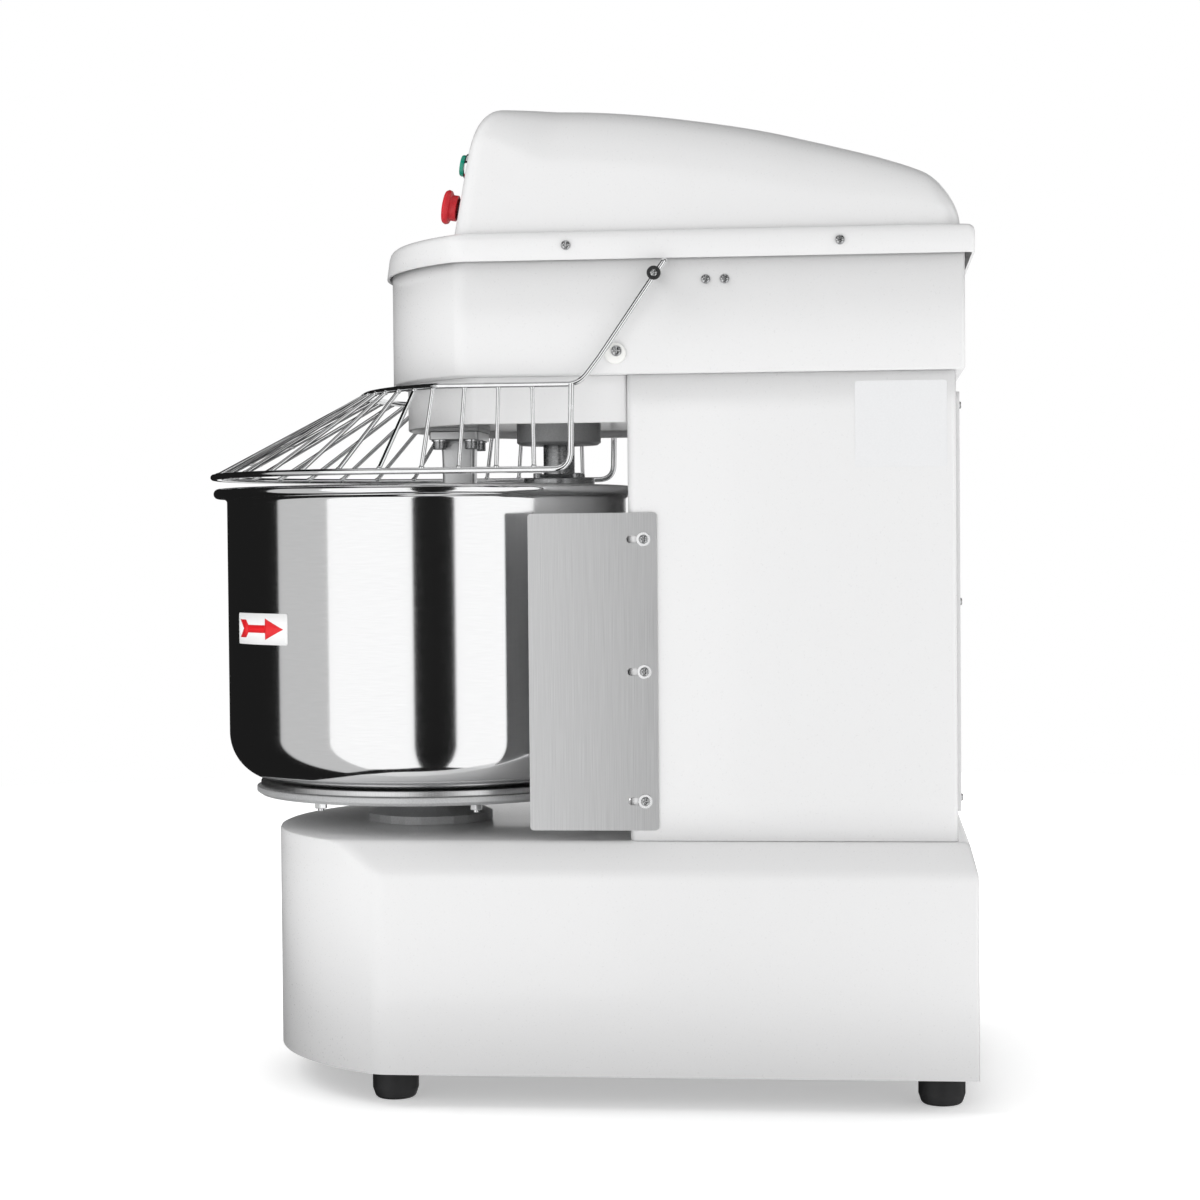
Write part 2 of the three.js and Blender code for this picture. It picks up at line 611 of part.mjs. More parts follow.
// ---- drive inside the casing ----
function makeDrive() {
  const shaft = post(0, mainY, mainShaft.bottom, mainShaft.top, mainShaft.radius, 24);
  add('main_shaft', shaft, darkSteel);
  for (const [place, z] of [['lower', 46 + gap], ['upper', head.bottom + head.floor + gap]]) {
    const profile = [[mainShaft.radius + gap, z], [40, z], [40, z + 8], [26, z + 12], [26, z + 28],
      [mainShaft.radius + gap, z + 28], [mainShaft.radius + gap, z]];
    add(`main_bearing_${place}`, turned(profile, mainY, 20), castGrey);
  }
  const wheel = (y, radius, bore) => {
    const { z, width } = pulley;
    const rim = radius + 4;
    return turned([[bore, z - 2], [rim, z - 2], [rim, z], [radius, z + 1], [radius, z + width - 1],
      [rim, z + width], [rim, z + width + 2], [bore, z + width + 2], [bore, z - 2]], y, 24);
  };
  add('main_pulley', wheel(mainY, pulley.main, mainShaft.radius + gap), castGrey);
  add('motor_pulley', wheel(motorY, pulley.motor, 11 + gap), castGrey);
  const beltZ = pulley.z + 2;
  add('drive_belt', loopBand(mainY, pulley.main, motorY, pulley.motor, beltZ,
    pulley.z + pulley.width - 2, 7), blackRubber);

  add('main_sprocket_upper', sprocket(mainY, topChain.main, topChain.mainTeeth, topChain.z,
    topChain.width, mainShaft.radius + gap, 20), darkSteel);
  add('spiral_chain', loopBand(spiralY, topChain.spiral, mainY, topChain.main, topChain.z + 1,
    topChain.z + topChain.width - 1, 7), brushed);
  add('main_sprocket_lower', sprocket(mainY, lowChain.main, lowChain.mainTeeth, lowChain.z,
    lowChain.width, mainShaft.radius + gap, 16), darkSteel);
  add('bowl_chain', loopBand(bowlY, lowChain.bowl, mainY, lowChain.main, lowChain.z + 1,
    lowChain.z + lowChain.width - 1, 7), brushed);

  const low = 430;
  const high = 700;
  const casing = [[0, low], [66, low], [75, low + 14], [75, high - 12], [60, high], [11 + gap, high],
    [11 + gap, high - 14], [58, high - 20], [58, low + 24], [0, low + 24]];
  add('motor_body', turned(casing, motorY, 24), motorPaint);
  const rotor = [[0, low + 30], [50, low + 30], [50, high - 34], [11, high - 34], [11, 906], [0, 906]];
  add('motor_rotor', turned(rotor, motorY, 20), darkSteel);
  const bracket = block(-226, 226, motorY - 84, motorY + 84, high + gap, high + 8);
  add('motor_mount_plate', cut(bracket, post(0, motorY, high - 5, high + 20, 30, 24)), darkSteel);
  const gland = rod(-column.half - 14, -column.half + 20, bowlY + 560, 380, 9, 20);
  add('cable_gland', gland, blackPlastic);
  add('control_box', block(125, 215, bowlY + 440, bowlY + 600, 829, 900), blackPlastic);
  add('guard_switch', block(head.half - 24, head.half - sheet - gap, bowlY + 345, bowlY + 388, 912, 942),
    blackPlastic);
}

makeBase();
makeColumn();
makeHead();
makeCover();
makeControls();
makeBowl();
makeSpiral();
makeBreaker();
makeGuard();
makeDrive();

export default machine;
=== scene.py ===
import json
import math
from collections import namedtuple

import bmesh
import bpy
from mathutils import Matrix, Vector
from mathutils.geometry import tessellate_polygon


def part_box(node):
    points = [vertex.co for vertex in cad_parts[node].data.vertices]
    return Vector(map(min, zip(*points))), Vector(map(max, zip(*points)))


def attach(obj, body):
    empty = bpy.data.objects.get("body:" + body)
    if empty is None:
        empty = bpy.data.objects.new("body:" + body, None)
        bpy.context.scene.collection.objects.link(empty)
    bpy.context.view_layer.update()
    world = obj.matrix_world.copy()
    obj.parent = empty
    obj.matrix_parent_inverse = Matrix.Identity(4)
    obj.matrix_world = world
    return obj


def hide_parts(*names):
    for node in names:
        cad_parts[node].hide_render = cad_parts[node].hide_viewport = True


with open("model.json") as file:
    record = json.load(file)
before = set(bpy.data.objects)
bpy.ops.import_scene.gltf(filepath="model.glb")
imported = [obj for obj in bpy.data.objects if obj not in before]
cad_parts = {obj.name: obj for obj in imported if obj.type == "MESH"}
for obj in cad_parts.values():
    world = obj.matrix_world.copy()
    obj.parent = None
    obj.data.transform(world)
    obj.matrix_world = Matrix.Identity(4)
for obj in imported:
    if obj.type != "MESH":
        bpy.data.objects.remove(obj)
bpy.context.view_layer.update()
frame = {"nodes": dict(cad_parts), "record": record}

# ---- places and sizes, in metres, worked out from the frame ----


def middle_of(node):
    """The middle of a CAD node's box."""
    low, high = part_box(node)
    return (low + high) / 2


BOWL_Y = middle_of("bowl").y
SPIRAL_Y = middle_of("spiral_bearing_housing").y
BREAKER_Y = middle_of("breaker_adapter_plate").y
REAR_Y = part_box("base_shell")[1].y
SHEET = 0.003  # thickness of the casing
HAIR = 0.0001  # gap under a piece that lies on another
SIDES = ((-1, "left", "-X"), (1, "right", "X"))  # the sign of X, the name and the way outwards

BASE_BOTTOM, BASE_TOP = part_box("base_shell")[0].z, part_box("base_shell")[1].z
BASE_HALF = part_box("base_shell")[1].x
BASE_SHOULDER = BASE_TOP - 0.034
BASE_TOP_HALF = BASE_HALF - 0.033
BASE_SETBACK = 0.009  # how far the top edge stands in from the rear face

COLUMN_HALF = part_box("column_shell")[1].x
HEAD_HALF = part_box("head_box")[1].x
SUB_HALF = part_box("mixing_head_frame")[1].x
SKIRT_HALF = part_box("top_cover")[1].x
SKIRT_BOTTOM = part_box("top_cover")[0].z
SKIRT_TOP = SKIRT_BOTTOM + 0.032
PANEL_LEAN = math.atan(18 / 101)  # the control panel leans back
PANEL_Y, PANEL_Z = BOWL_Y + 0.070, 0.985  # the panel's foot

# A round front seen from above: the arc's centre and radius, and the rounding of its two corners.
Front = namedtuple("Front", "arc_y radius corner")
BASE_FRONT = Front(BOWL_Y + 0.118, 0.2983, 0.045)
HEAD_FRONT = Front(BOWL_Y + 0.278, 0.3135, 0.028)
SUB_FRONT = Front(BOWL_Y + 0.2625, 0.281, 0.02)
SKIRT_FRONT = Front(HEAD_FRONT.arc_y, 0.320, 0.035)

BOWL_RADIUS = 0.243
BOWL_BEAD = 0.006  # radius of the rolled rim
RIM_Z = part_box("bowl")[1].z - BOWL_BEAD
PIVOT_Y, PIVOT_Z = BOWL_Y + 0.2994, 0.933  # the guard's hinge

# ---- small geometry helpers ----

STRAIGHT = math.pi - 0.001  # a corner flatter than this isn't rounded

# Turns that point a piece's own z axis along a named direction.
FACING = {
    "X": Matrix.Rotation(math.pi / 2, 4, "Y"), "-X": Matrix.Rotation(-math.pi / 2, 4, "Y"),
    "Y": Matrix.Rotation(-math.pi / 2, 4, "X"), "Z": Matrix(), "-Z": Matrix.Rotation(math.pi, 4, "X"),
}


def finish_mesh(name, bm, mat, sharp=35, matrix=None):
    """Turns a bmesh into an object with outward faces and smooth shading."""
    bmesh.ops.remove_doubles(bm, verts=bm.verts, dist=1e-6)
    bmesh.ops.recalc_face_normals(bm, faces=bm.faces)
    mesh = bpy.data.meshes.new(name)
    bm.to_mesh(mesh)
    bm.free()
    if matrix is not None:
        mesh.transform(matrix)
    mesh.shade_smooth()
    mesh.set_sharp_from_angle(angle=math.radians(sharp))
    mesh.materials.append(mat)
    obj = bpy.data.objects.new(name, mesh)
    bpy.context.collection.objects.link(obj)
    return obj


def settle(obj, body, slot, *nodes):
    """Says which body a piece rides on, and the CAD nodes it stands for; slot is not used."""
    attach(obj, body)
    if nodes:
        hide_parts(*nodes)
    return obj


def soften(obj, width, segments=2, angle=30):
    """Rounds the sharp edges of an object."""
    bevel = obj.modifiers.new("edges", "BEVEL")
    bevel.width = width
    bevel.segments = segments
    bevel.limit_method = "ANGLE"
    bevel.angle_limit = math.radians(angle)
    bevel.harden_normals = True
    return obj


def thicken(obj):
    """Gives an open shell the thickness of sheet metal, inwards."""
    solid = obj.modifiers.new("sheet", "SOLIDIFY")
    solid.thickness = SHEET
    solid.offset = -1
    return obj


def circle(count, start=0.0):
    """Points (x, y) evenly round a circle of radius 1."""
    angles = [start + 2 * math.pi * i / count for i in range(count)]
    return [(math.cos(angle), math.sin(angle)) for angle in angles]


def arc(cx, cy, radius, start, end, steps):
    """Points of an arc, angles in degrees."""
    points = []
    for i in range(steps + 1):
        angle = math.radians(start + (end - start) * i / steps)
        points.append((cx + math.cos(angle) * radius, cy + math.sin(angle) * radius))
    return points


def rounded(points, radius, steps=5, closed=True):
    """Replaces the corners of a 2D outline by arcs; radius is one number, or one for each corner."""
    out = []
    count = len(points)
    for i, point in enumerate(points):
        r = radius[i] if isinstance(radius, (list, tuple)) else radius
        corner = Vector(point)
        if r <= 0 or (not closed and i in (0, count - 1)):
            out.append(tuple(corner))
            continue
        before = Vector(points[i - 1]) - corner
        after = Vector(points[(i + 1) % count]) - corner
        turn = before.angle(after)
        if turn > STRAIGHT:
            out.append(tuple(corner))
            continue
        reach = min(r / math.tan(turn / 2), before.length * 0.49, after.length * 0.49)
        bend = reach * math.tan(turn / 2)
        before.normalize()
        after.normalize()
        middle = corner + (before + after).normalized() * (bend / math.sin(turn / 2))
        start = corner + before * reach - middle
        end = corner + after * reach - middle
        sweep = start.angle_signed(end)
        for k in range(steps + 1):
            c, s = math.cos(-sweep * k / steps), math.sin(-sweep * k / steps)
            out.append((middle.x + start.x * c - start.y * s, middle.y + start.x * s + start.y * c))
    return out


def rectangle(u0, v0, u1, v1, radius, steps=4):
    """A rounded rectangle between two opposite corners."""
    return rounded([(u0, v0), (u1, v0), (u1, v1), (u0, v1)], radius, steps)


def d_outline(half, front, rear, inset=0.0, rear_corner=0.004):
    """A plan outline with straight sides, a square rear and a round front."""
    side, radius, bend = half - inset, front.radius - inset, front.corner - inset
    reach = math.sqrt((radius - bend) ** 2 - (side - bend) ** 2)
    swing = math.degrees(math.atan2(side - bend, reach))
    curve = arc(bend - side, front.arc_y - reach, bend, 180, 270 - swing, 12)
    curve += arc(0, front.arc_y, radius, -90 - swing, -90 + swing, 60)[1:-1]
    curve += arc(side - bend, front.arc_y - reach, bend, -90 + swing, 0, 12)
    points = [(side, rear - inset), (-side, rear - inset)] + curve
    return rounded(points, [rear_corner, rear_corner] + [0] * len(curve), 6)


def raised(outline, z):
    """A 2D outline laid level at a height."""
    return [(x, y, z) for x, y in outline]


def stack(bm, loops, cap_start=False, cap_end=False, closed=True):
    """Skins a row of 3D loops that have equally many points."""
    rows = [[bm.verts.new(p) for p in loop] for loop in loops]
    count = len(rows[0])
    last = count if closed else count - 1
    for low, high in zip(rows, rows[1:]):
        for i in range(last):
            j = (i + 1) % count
            bm.faces.new((low[i], low[j], high[j], high[i]))
    if cap_start:
        bm.faces.new(rows[0][::-1])
    if cap_end:
        bm.faces.new(rows[-1])
    return rows


def solid(name, mat, *stacks, sharp=35, matrix=None):
    """An object made of stacks of loops, each closed at both ends."""
    bm = bmesh.new()
    for loops in stacks:
        stack(bm, loops, cap_start=True, cap_end=True)
    return finish_mesh(name, bm, mat, sharp, matrix)


def revolve(bm, profile, segments, spot=(0, 0), closed=False):
    """Turns a profile of (radius, height) pairs about the upright axis through a spot."""
    loops = []
    for c, s in circle(segments):
        loops.append([(spot[0] + r * c, spot[1] + r * s, h) for r, h in profile])
    stack(bm, loops + loops[:1], closed=closed)


def lathe(name, profile, spot, mat, segments=96, facing="Z", sharp=35, closed=False):
    """A turned piece; closed says that its profile closes on itself, off the axis."""
    bm = bmesh.new()
    revolve(bm, profile, segments, closed=closed)
    bmesh.ops.dissolve_degenerate(bm, dist=1e-7, edges=bm.edges)
    return finish_mesh(name, bm, mat, sharp, Matrix.Translation(spot) @ FACING[facing])


def add_tube(bm, points, radius, sides):
    """A round bar along 3D points; radius is a number, or a function of the share of the way."""
    path = [Vector(p) for p in points]
    last = len(path) - 1
    loops = []
    normal = (path[1] - path[0]).orthogonal()
    for i, point in enumerate(path):
        ahead = (path[min(i + 1, last)] - path[max(i - 1, 0)]).normalized()
        normal = (normal - ahead * normal.dot(ahead)).normalized()
        across = ahead.cross(normal)
        r = radius(i / last) if callable(radius) else radius
        loops.append([point + normal * (c * r) + across * (s * r) for c, s in circle(sides)])
    stack(bm, loops, cap_start=True, cap_end=True)


def smooth_path(points, bend, steps=10):
    """Rounds the corners of a 3D polyline with the same bend radius."""
    path = [Vector(p) for p in points]
    out = [path[0]]
    for before, corner, after in zip(path, path[1:], path[2:]):
        a = before - corner
        b = after - corner
        turn = a.angle(b)
        if turn > STRAIGHT:
            out.append(corner)
            continue
        reach = min(bend / math.tan(turn / 2), a.length * 0.45, b.length * 0.45)
        start, end = corner + a.normalized() * reach, corner + b.normalized() * reach
        for k in range(steps + 1):
            t = k / steps
            out.append(start * (1 - t) ** 2 + corner * (2 * t * (1 - t)) + end * t ** 2)
    out.append(path[-1])
    return out


def plate(bm, outline, holes, place, thickness):
    """A flat plate with holes; place maps (u, v, depth) to 3D."""
    rings = [outline] + list(holes)
    triangles = tessellate_polygon([[Vector((u, v, 0)) for u, v in ring] for ring in rings])
    everything = [p for ring in rings for p in ring]
    near, far = [[bm.verts.new(place(u, v, depth)) for u, v in everything] for depth in (0, thickness)]
    for a, b, c in triangles:
        bm.faces.new((near[a], near[b], near[c]))
        bm.faces.new((far[c], far[b], far[a]))
    start = 0
    for ring in rings:
        for i in range(len(ring)):
            a, b = start + i, start + (i + 1) % len(ring)
            bm.faces.new((near[a], near[b], far[b], far[a]))
        start += len(ring)


# ---- materials ----

NOISE_LOW, NOISE_HIGH = 0.3, 0.7  # the band that a noise mostly stays in
RELIEF = 0.0002  # height of a full bump


def material(name, colour, rough, metal=0.0, *, grain, tint, rough_swing, bump=0.0, coat=0.0, detail=3.0):
    """A Principled material whose colour, roughness and bump vary with a noise.

    Grain says how fine the noise is, per metre: one number, or one for each axis.
    """
    mat = bpy.data.materials.new(name)
    mat.use_nodes = True
    nodes, links = mat.node_tree.nodes, mat.node_tree.links
    shader = nodes["Principled BSDF"]
    shader.inputs["Metallic"].default_value = metal
    shader.inputs["Coat Weight"].default_value = coat
    shader.inputs["Coat Roughness"].default_value = 0.08
    where = nodes.new("ShaderNodeTexCoord")
    scale = nodes.new("ShaderNodeMapping")
    scale.inputs["Scale"].default_value = grain if isinstance(grain, tuple) else (grain, grain, grain)
    noise = nodes.new("ShaderNodeTexNoise")
    noise.inputs["Scale"].default_value = 1.0
    noise.inputs["Detail"].default_value = detail
    links.new(where.outputs["Object"], scale.inputs["Vector"])
    links.new(scale.outputs["Vector"], noise.inputs["Vector"])
    ramp = nodes.new("ShaderNodeValToRGB")
    dark, bright = ramp.color_ramp.elements
    dark.position, bright.position = NOISE_LOW, NOISE_HIGH
    dark.color = [c * (1 - tint) for c in colour] + [1]
    bright.color = [min(1, c * (1 + tint)) for c in colour] + [1]
    links.new(noise.outputs["Fac"], ramp.inputs["Fac"])
    links.new(ramp.outputs["Color"], shader.inputs["Base Color"])
    spread = nodes.new("ShaderNodeMapRange")
    spread.inputs["From Min"].default_value = NOISE_LOW
    spread.inputs["From Max"].default_value = NOISE_HIGH
    spread.inputs["To Min"].default_value = max(0.02, rough - rough_swing)
    spread.inputs["To Max"].default_value = min(1, rough + rough_swing)
    links.new(noise.outputs["Fac"], spread.inputs["Value"])
    links.new(spread.outputs["Result"], shader.inputs["Roughness"])
    if bump:
        relief = nodes.new("ShaderNodeBump")
        relief.inputs["Strength"].default_value = bump
        relief.inputs["Distance"].default_value = RELIEF
        links.new(noise.outputs["Fac"], relief.inputs["Height"])
        links.new(relief.outputs["Normal"], shader.inputs["Normal"])
    return mat


PAINT = material("powder_coat_paint", (0.73, 0.73, 0.732), 0.3, grain=450, tint=0.004,
                 rough_swing=0.03, bump=0.03, coat=0.25)
POLISHED = material("polished_stainless", (0.9, 0.902, 0.906), 0.09, 1.0, grain=(60, 60, 2600),
                    tint=0.03, rough_swing=0.025, bump=0.02)
BRUSHED = material("brushed_stainless", (0.8, 0.803, 0.807), 0.35, 1.0, grain=(1800, 1800, 14),
                   tint=0.1, rough_swing=0.06, bump=0.1, detail=4)
FORGED = material("forged_stainless", (0.78, 0.785, 0.79), 0.34, 1.0, grain=500,
                  tint=0.03, rough_swing=0.05, bump=0.06)
CHROME = material("bright_chrome", (0.9, 0.905, 0.91), 0.1, 1.0, grain=90, tint=0.04, rough_swing=0.03)
ZINC = material("zinc_plated", (0.6, 0.605, 0.61), 0.24, 1.0, grain=400, tint=0.06,
                rough_swing=0.05, bump=0.05)
CAST = material("machined_casting", (0.6, 0.605, 0.61), 0.5, 0.55, grain=700, tint=0.1,
                rough_swing=0.08, bump=0.2)
STEEL = material("machined_steel", (0.45, 0.455, 0.46), 0.28, 1.0, grain=(120, 120, 1500), tint=0.12,
                 rough_swing=0.07, bump=0.06)
RUBBER = material("black_rubber", (0.012, 0.012, 0.013), 0.6, grain=900, tint=0.2,
                  rough_swing=0.08, bump=0.35)
BLACK = material("black_plastic", (0.018, 0.018, 0.019), 0.38, grain=1200, tint=0.15,
                 rough_swing=0.06, bump=0.15)
WHITE = material("white_plastic", (0.82, 0.82, 0.8), 0.42, grain=800, tint=0.01,
                 rough_swing=0.05, bump=0.08)
RED = material("red_plastic", (0.56, 0.012, 0.02), 0.4, grain=900, tint=0.06, rough_swing=0.05, bump=0.1)
GREEN = material("green_plastic", (0.0, 0.26, 0.17), 0.22, grain=900, tint=0.08,
                 rough_swing=0.05, coat=0.4)
MOTOR = material("motor_enamel", (0.06, 0.12, 0.19), 0.45, grain=500, tint=0.06,
                 rough_swing=0.06, bump=0.2)
STICKER = material("sticker_vinyl", (0.84, 0.84, 0.84), 0.35, grain=400, tint=0.01, rough_swing=0.04)
ARROW = material("sticker_red", (0.72, 0.008, 0.014), 0.35, grain=400, tint=0.05, rough_swing=0.04)
LABEL = material("label_film", (0.71, 0.714, 0.722), 0.42, grain=500, tint=0.015, rough_swing=0.05)

SLOT_FINISH = {
    "powder_coat": PAINT, "polished_steel": POLISHED, "brushed_steel": BRUSHED, "chrome_wire": CHROME,
    "cast_grey": CAST, "machined_steel": STEEL, "black_rubber": RUBBER, "black_plastic": BLACK,
    "white_plastic": WHITE, "red_plastic": RED, "green_plastic": GREEN, "motor_paint": MOTOR,
}

# ---- camera: beside the machine, a little behind its middle ----

CAMERA_SPOT = (3.124, BOWL_Y + 0.521, 0.636)
CAMERA_YAW, CAMERA_PITCH, CAMERA_ROLL = -5.68, -1.52, -0.51  # degrees
CAMERA_LENS = 77.5
CAMERA_SHIFT = 0.0083


def make_camera():
    yaw, pitch, roll = (math.radians(angle) for angle in (CAMERA_YAW, CAMERA_PITCH, CAMERA_ROLL))
    ahead = Vector((-math.cos(yaw) * math.cos(pitch), math.sin(yaw) * math.cos(pitch), math.sin(pitch)))
    right = ahead.cross(Vector((0, 0, 1))).normalized()
    up = right.cross(ahead)
    tilted_right = right * math.cos(roll) + up * math.sin(roll)
    tilted_up = up * math.cos(roll) - right * math.sin(roll)
    turn = Matrix((tilted_right, tilted_up, -ahead)).transposed().to_4x4()
    data = bpy.data.cameras.new("camera")
    data.sensor_width = 36
    data.lens = CAMERA_LENS
    data.shift_y = CAMERA_SHIFT
    data.clip_end = 60
    camera = bpy.data.objects.new("camera", data)
    camera.matrix_world = Matrix.Translation(CAMERA_SPOT) @ turn
    bpy.context.collection.objects.link(camera)
    bpy.context.scene.camera = camera


# ---- screws ----

# The radius and the height of each kind of screw head.
COVER_SCREW, SWITCH_SCREW, REAR_PANEL_SCREW = (0.0055, 0.0034), (0.0054, 0.003), (0.0042, 0.0022)
PLATE_SCREW, PIVOT_SCREW, GUARD_STOP_SCREW = (0.0052, 0.0032), (0.0048, 0.0031), (0.0062, 0.0034)


def add_screw(name, spot, facing, size, body, *nodes):
    """A domed screw head with a cross recess, facing outwards."""
    radius, height = size
    recess_arm, recess_half, recess_depth = radius * 0.62, radius * 0.13, height * 0.38
    rings = [(1.0, 0.0), (1.0, 0.35), (0.93, 0.62), (0.78, 0.86), (0.55, 0.98), (0.3, 1.0), (0.12, 1.0)]
    loops = []
    for width, lift in rings:
        loop = []
        for c, s in circle(32):
            x, y, z = c * radius * width, s * radius * width, height * lift
            if min(abs(x), abs(y)) < recess_half and math.hypot(x, y) < recess_arm:
                z -= recess_depth
            loop.append((x, y, z))
        loops.append(loop)
    screw = solid(name, ZINC, loops, sharp=40, matrix=Matrix.Translation(spot) @ FACING[facing])
    settle(screw, body, "chrome_wire", *nodes)


def make_screws():
    for side, place, facing in SIDES:
        for end in ("front", "rear"):
            node = f"cover_screw_{place}_{end}"
            low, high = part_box(node)
            spot = middle_of(node)
            spot.x = low.x if side > 0 else high.x
            add_screw(f"cover_screw_head_{place}_{end}", spot, facing, COVER_SCREW, "frame", node)
    switch_y, switch_z = (BOWL_Y + 0.3557, BOWL_Y + 0.3769), 0.927
    for side, place, facing in SIDES:
        for i, y in enumerate(switch_y):
            spot = (side * (HEAD_HALF + HAIR), y, switch_z)
            add_screw(f"switch_screw_X_{i + 1}_{place}", spot, facing, SWITCH_SCREW, "frame")


# ---- casing ----


def make_base():
    rise, run = BASE_TOP - BASE_SHOULDER, BASE_HALF - BASE_TOP_HALF
    edge = 0.004  # rounding of the top edge
    slope_top = (BASE_TOP_HALF + edge * run / rise, BASE_TOP - edge)
    section = rounded([(BASE_HALF, BASE_BOTTOM), (BASE_HALF, BASE_SHOULDER), slope_top], 0.02, 8,
                      closed=False)
    levels = [(half, z, 0.0) for half, z in section]
    levels += [(BASE_TOP_HALF, BASE_TOP - edge * 0.3, edge * 0.3), (BASE_TOP_HALF, BASE_TOP, edge)]
    loops = []
    for half, z, inset in levels:
        rear = REAR_Y - BASE_SETBACK * max(0.0, z - BASE_SHOULDER) / rise
        loops.append(raised(d_outline(half, BASE_FRONT, rear, inset), z))
    bm = bmesh.new()
    stack(bm, loops, cap_end=True)
    base = thicken(finish_mesh("base_shell_sheet", bm, PAINT, 40))
    settle(base, "frame", "powder_coat", "base_shell")


def make_feet():
    profile = [(0, 0), (0.0225, 0), (0.0265, 0.012), (0.0265, 0.034), (0.0235, 0.0395), (0, 0.0395)]
    profile = rounded(profile, [0, 0.006, 0.004, 0.002, 0.002, 0], 6, closed=False)
    for place in ("front_left", "front_right", "rear_left", "rear_right"):
        node = f"foot_{place}"
        spot = middle_of(node)
        spot.z = 0
        foot = lathe(f"rubber_foot_{place}", profile, spot, RUBBER, 64)
        settle(foot, "frame", "black_rubber", node)


def make_column():
    low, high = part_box("column_shell")
    half, front, rear = COLUMN_HALF, low.y, high.y
    hatch, hatch_low, hatch_high = 0.2, 0.350, 0.780  # the opening behind the rear panel
    corners = [(hatch, rear), (half, rear), (half, front), (-half, front), (-half, rear), (-hatch, rear)]
    outline = rounded(corners, [0, 0.005, 0.009, 0.009, 0.005, 0], 6, closed=False)
    bm = bmesh.new()
    levels = (low.z, hatch_low, hatch_high, high.z)
    rows = stack(bm, [raised(outline, z) for z in levels], closed=False)
    for lower, upper in ((rows[0], rows[1]), (rows[2], rows[3])):
        bm.faces.new((lower[-1], lower[0], upper[0], upper[-1]))
    column = thicken(finish_mesh("column_shell_sheet", bm, PAINT, 30))
    settle(column, "frame", "powder_coat", "column_shell")


def make_rear_panel():
    low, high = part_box("rear_panel")
    outline = rectangle(low.x, low.z, high.x, high.z, 0.008, 6)
    bm = bmesh.new()
    plate(bm, outline, [], lambda u, v, depth: (u, low.y + depth, v), high.y - low.y)
    panel = soften(finish_mesh("rear_panel_sheet", bm, PAINT), 0.0015, 3)
    settle(panel, "frame", "powder_coat", "rear_panel")
    columns, heights = (-0.2, 0.2), (0.345, 0.565, 0.785)
    for i, (x, z) in enumerate((x, z) for x in columns for z in heights):
        add_screw(f"rear_panel_screw_{i + 1}", (x, high.y + HAIR, z), "Y", REAR_PANEL_SCREW, "frame")


def make_head_box():
    low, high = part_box("head_box")
    loops = []
    for z, inset in ((low.z, 0.0025), (low.z + 0.0007, 0.001), (low.z + 0.0025, 0), (high.z, 0)):
        loops.append(raised(d_outline(HEAD_HALF, HEAD_FRONT, high.y, inset), z))
    bm = bmesh.new()
    stack(bm, loops, cap_start=True)
    box = thicken(finish_mesh("head_box_sheet", bm, PAINT, 50))
    settle(box, "frame", "powder_coat", "head_box")


def make_sub_box():
    low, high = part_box("mixing_head_frame")
    steps = [(high.z, 0), (low.z + 0.0015, 0), (low.z + 0.0004, 0.0006), (low.z, 0.0018),
             (low.z, 0.0032), (low.z + 0.0008, 0.004), (low.z + 0.0093, 0.004)]
    loops = [raised(d_outline(SUB_HALF, SUB_FRONT, high.y, inset), z) for z, inset in steps]
    under = solid("mixing_head_frame_sheet", PAINT, loops, sharp=50)
    settle(under, "frame", "powder_coat", "mixing_head_frame")


# ---- top cover: a long dome on a skirt ----

# Crown line of the dome: distance behind the panel's foot, and height.
CROWN_LINE = [(0.0, 1.1275), (0.026, 1.1285), (0.076, 1.1293), (0.153, 1.1265), (0.24, 1.1175),
              (0.35, 1.0995), (0.458, 1.072), (0.511, 1.0545), (0.543, 1.040), (0.568, 1.027)]
DOME_LENGTH = CROWN_LINE[-1][0]
DOME_HALF = 0.235
DOME_LEAN = 0.05  # how much the sides lean in, per height
BROW_REACH, BROW_DROP = 0.03, 0.035  # the round above the panel
TAIL_REACH, TAIL_DROP = 0.042, 0.98  # the round at the rear; its drop is a share of the height
CORNER_FRONT, CORNER_REAR = 0.02, 0.03  # radii of the upright corners
SHOULDER_FRONT, SHOULDER_GROWTH, GROWTH_REACH = 0.03, 0.045, 0.09  # rounding between side and top
CROWN_RISE, CROWN_REACH = 0.01, 0.08  # how much the top arches, and how soon it does so


def ease(points, t):
    """Smooth height between (t, height) pairs."""
    for i in range(len(points) - 1):
        (t0, h0), (t1, h1) = points[i], points[i + 1]
        if t <= t1:
            before = points[max(i - 1, 0)]
            after = points[min(i + 2, len(points) - 1)]
            m0 = (h1 - before[1]) / (t1 - before[0])
            m1 = (after[1] - h0) / (after[0] - t0)
            s, span = (t - t0) / (t1 - t0), t1 - t0
            return (h0 * (2 * s ** 3 - 3 * s ** 2 + 1) + m0 * span * (s ** 3 - 2 * s ** 2 + s)
                    + h1 * (3 * s ** 2 - 2 * s ** 3) + m1 * span * (s ** 3 - s ** 2))
    return points[-1][1]


def drop(t, reach):
    """How far, from 0 to 1, a quarter round has still to rise after t of its reach."""
    if t >= reach:
        return 0.0
    return 1 - math.sqrt(max(0.0, 1 - (1 - t / reach) ** 2))


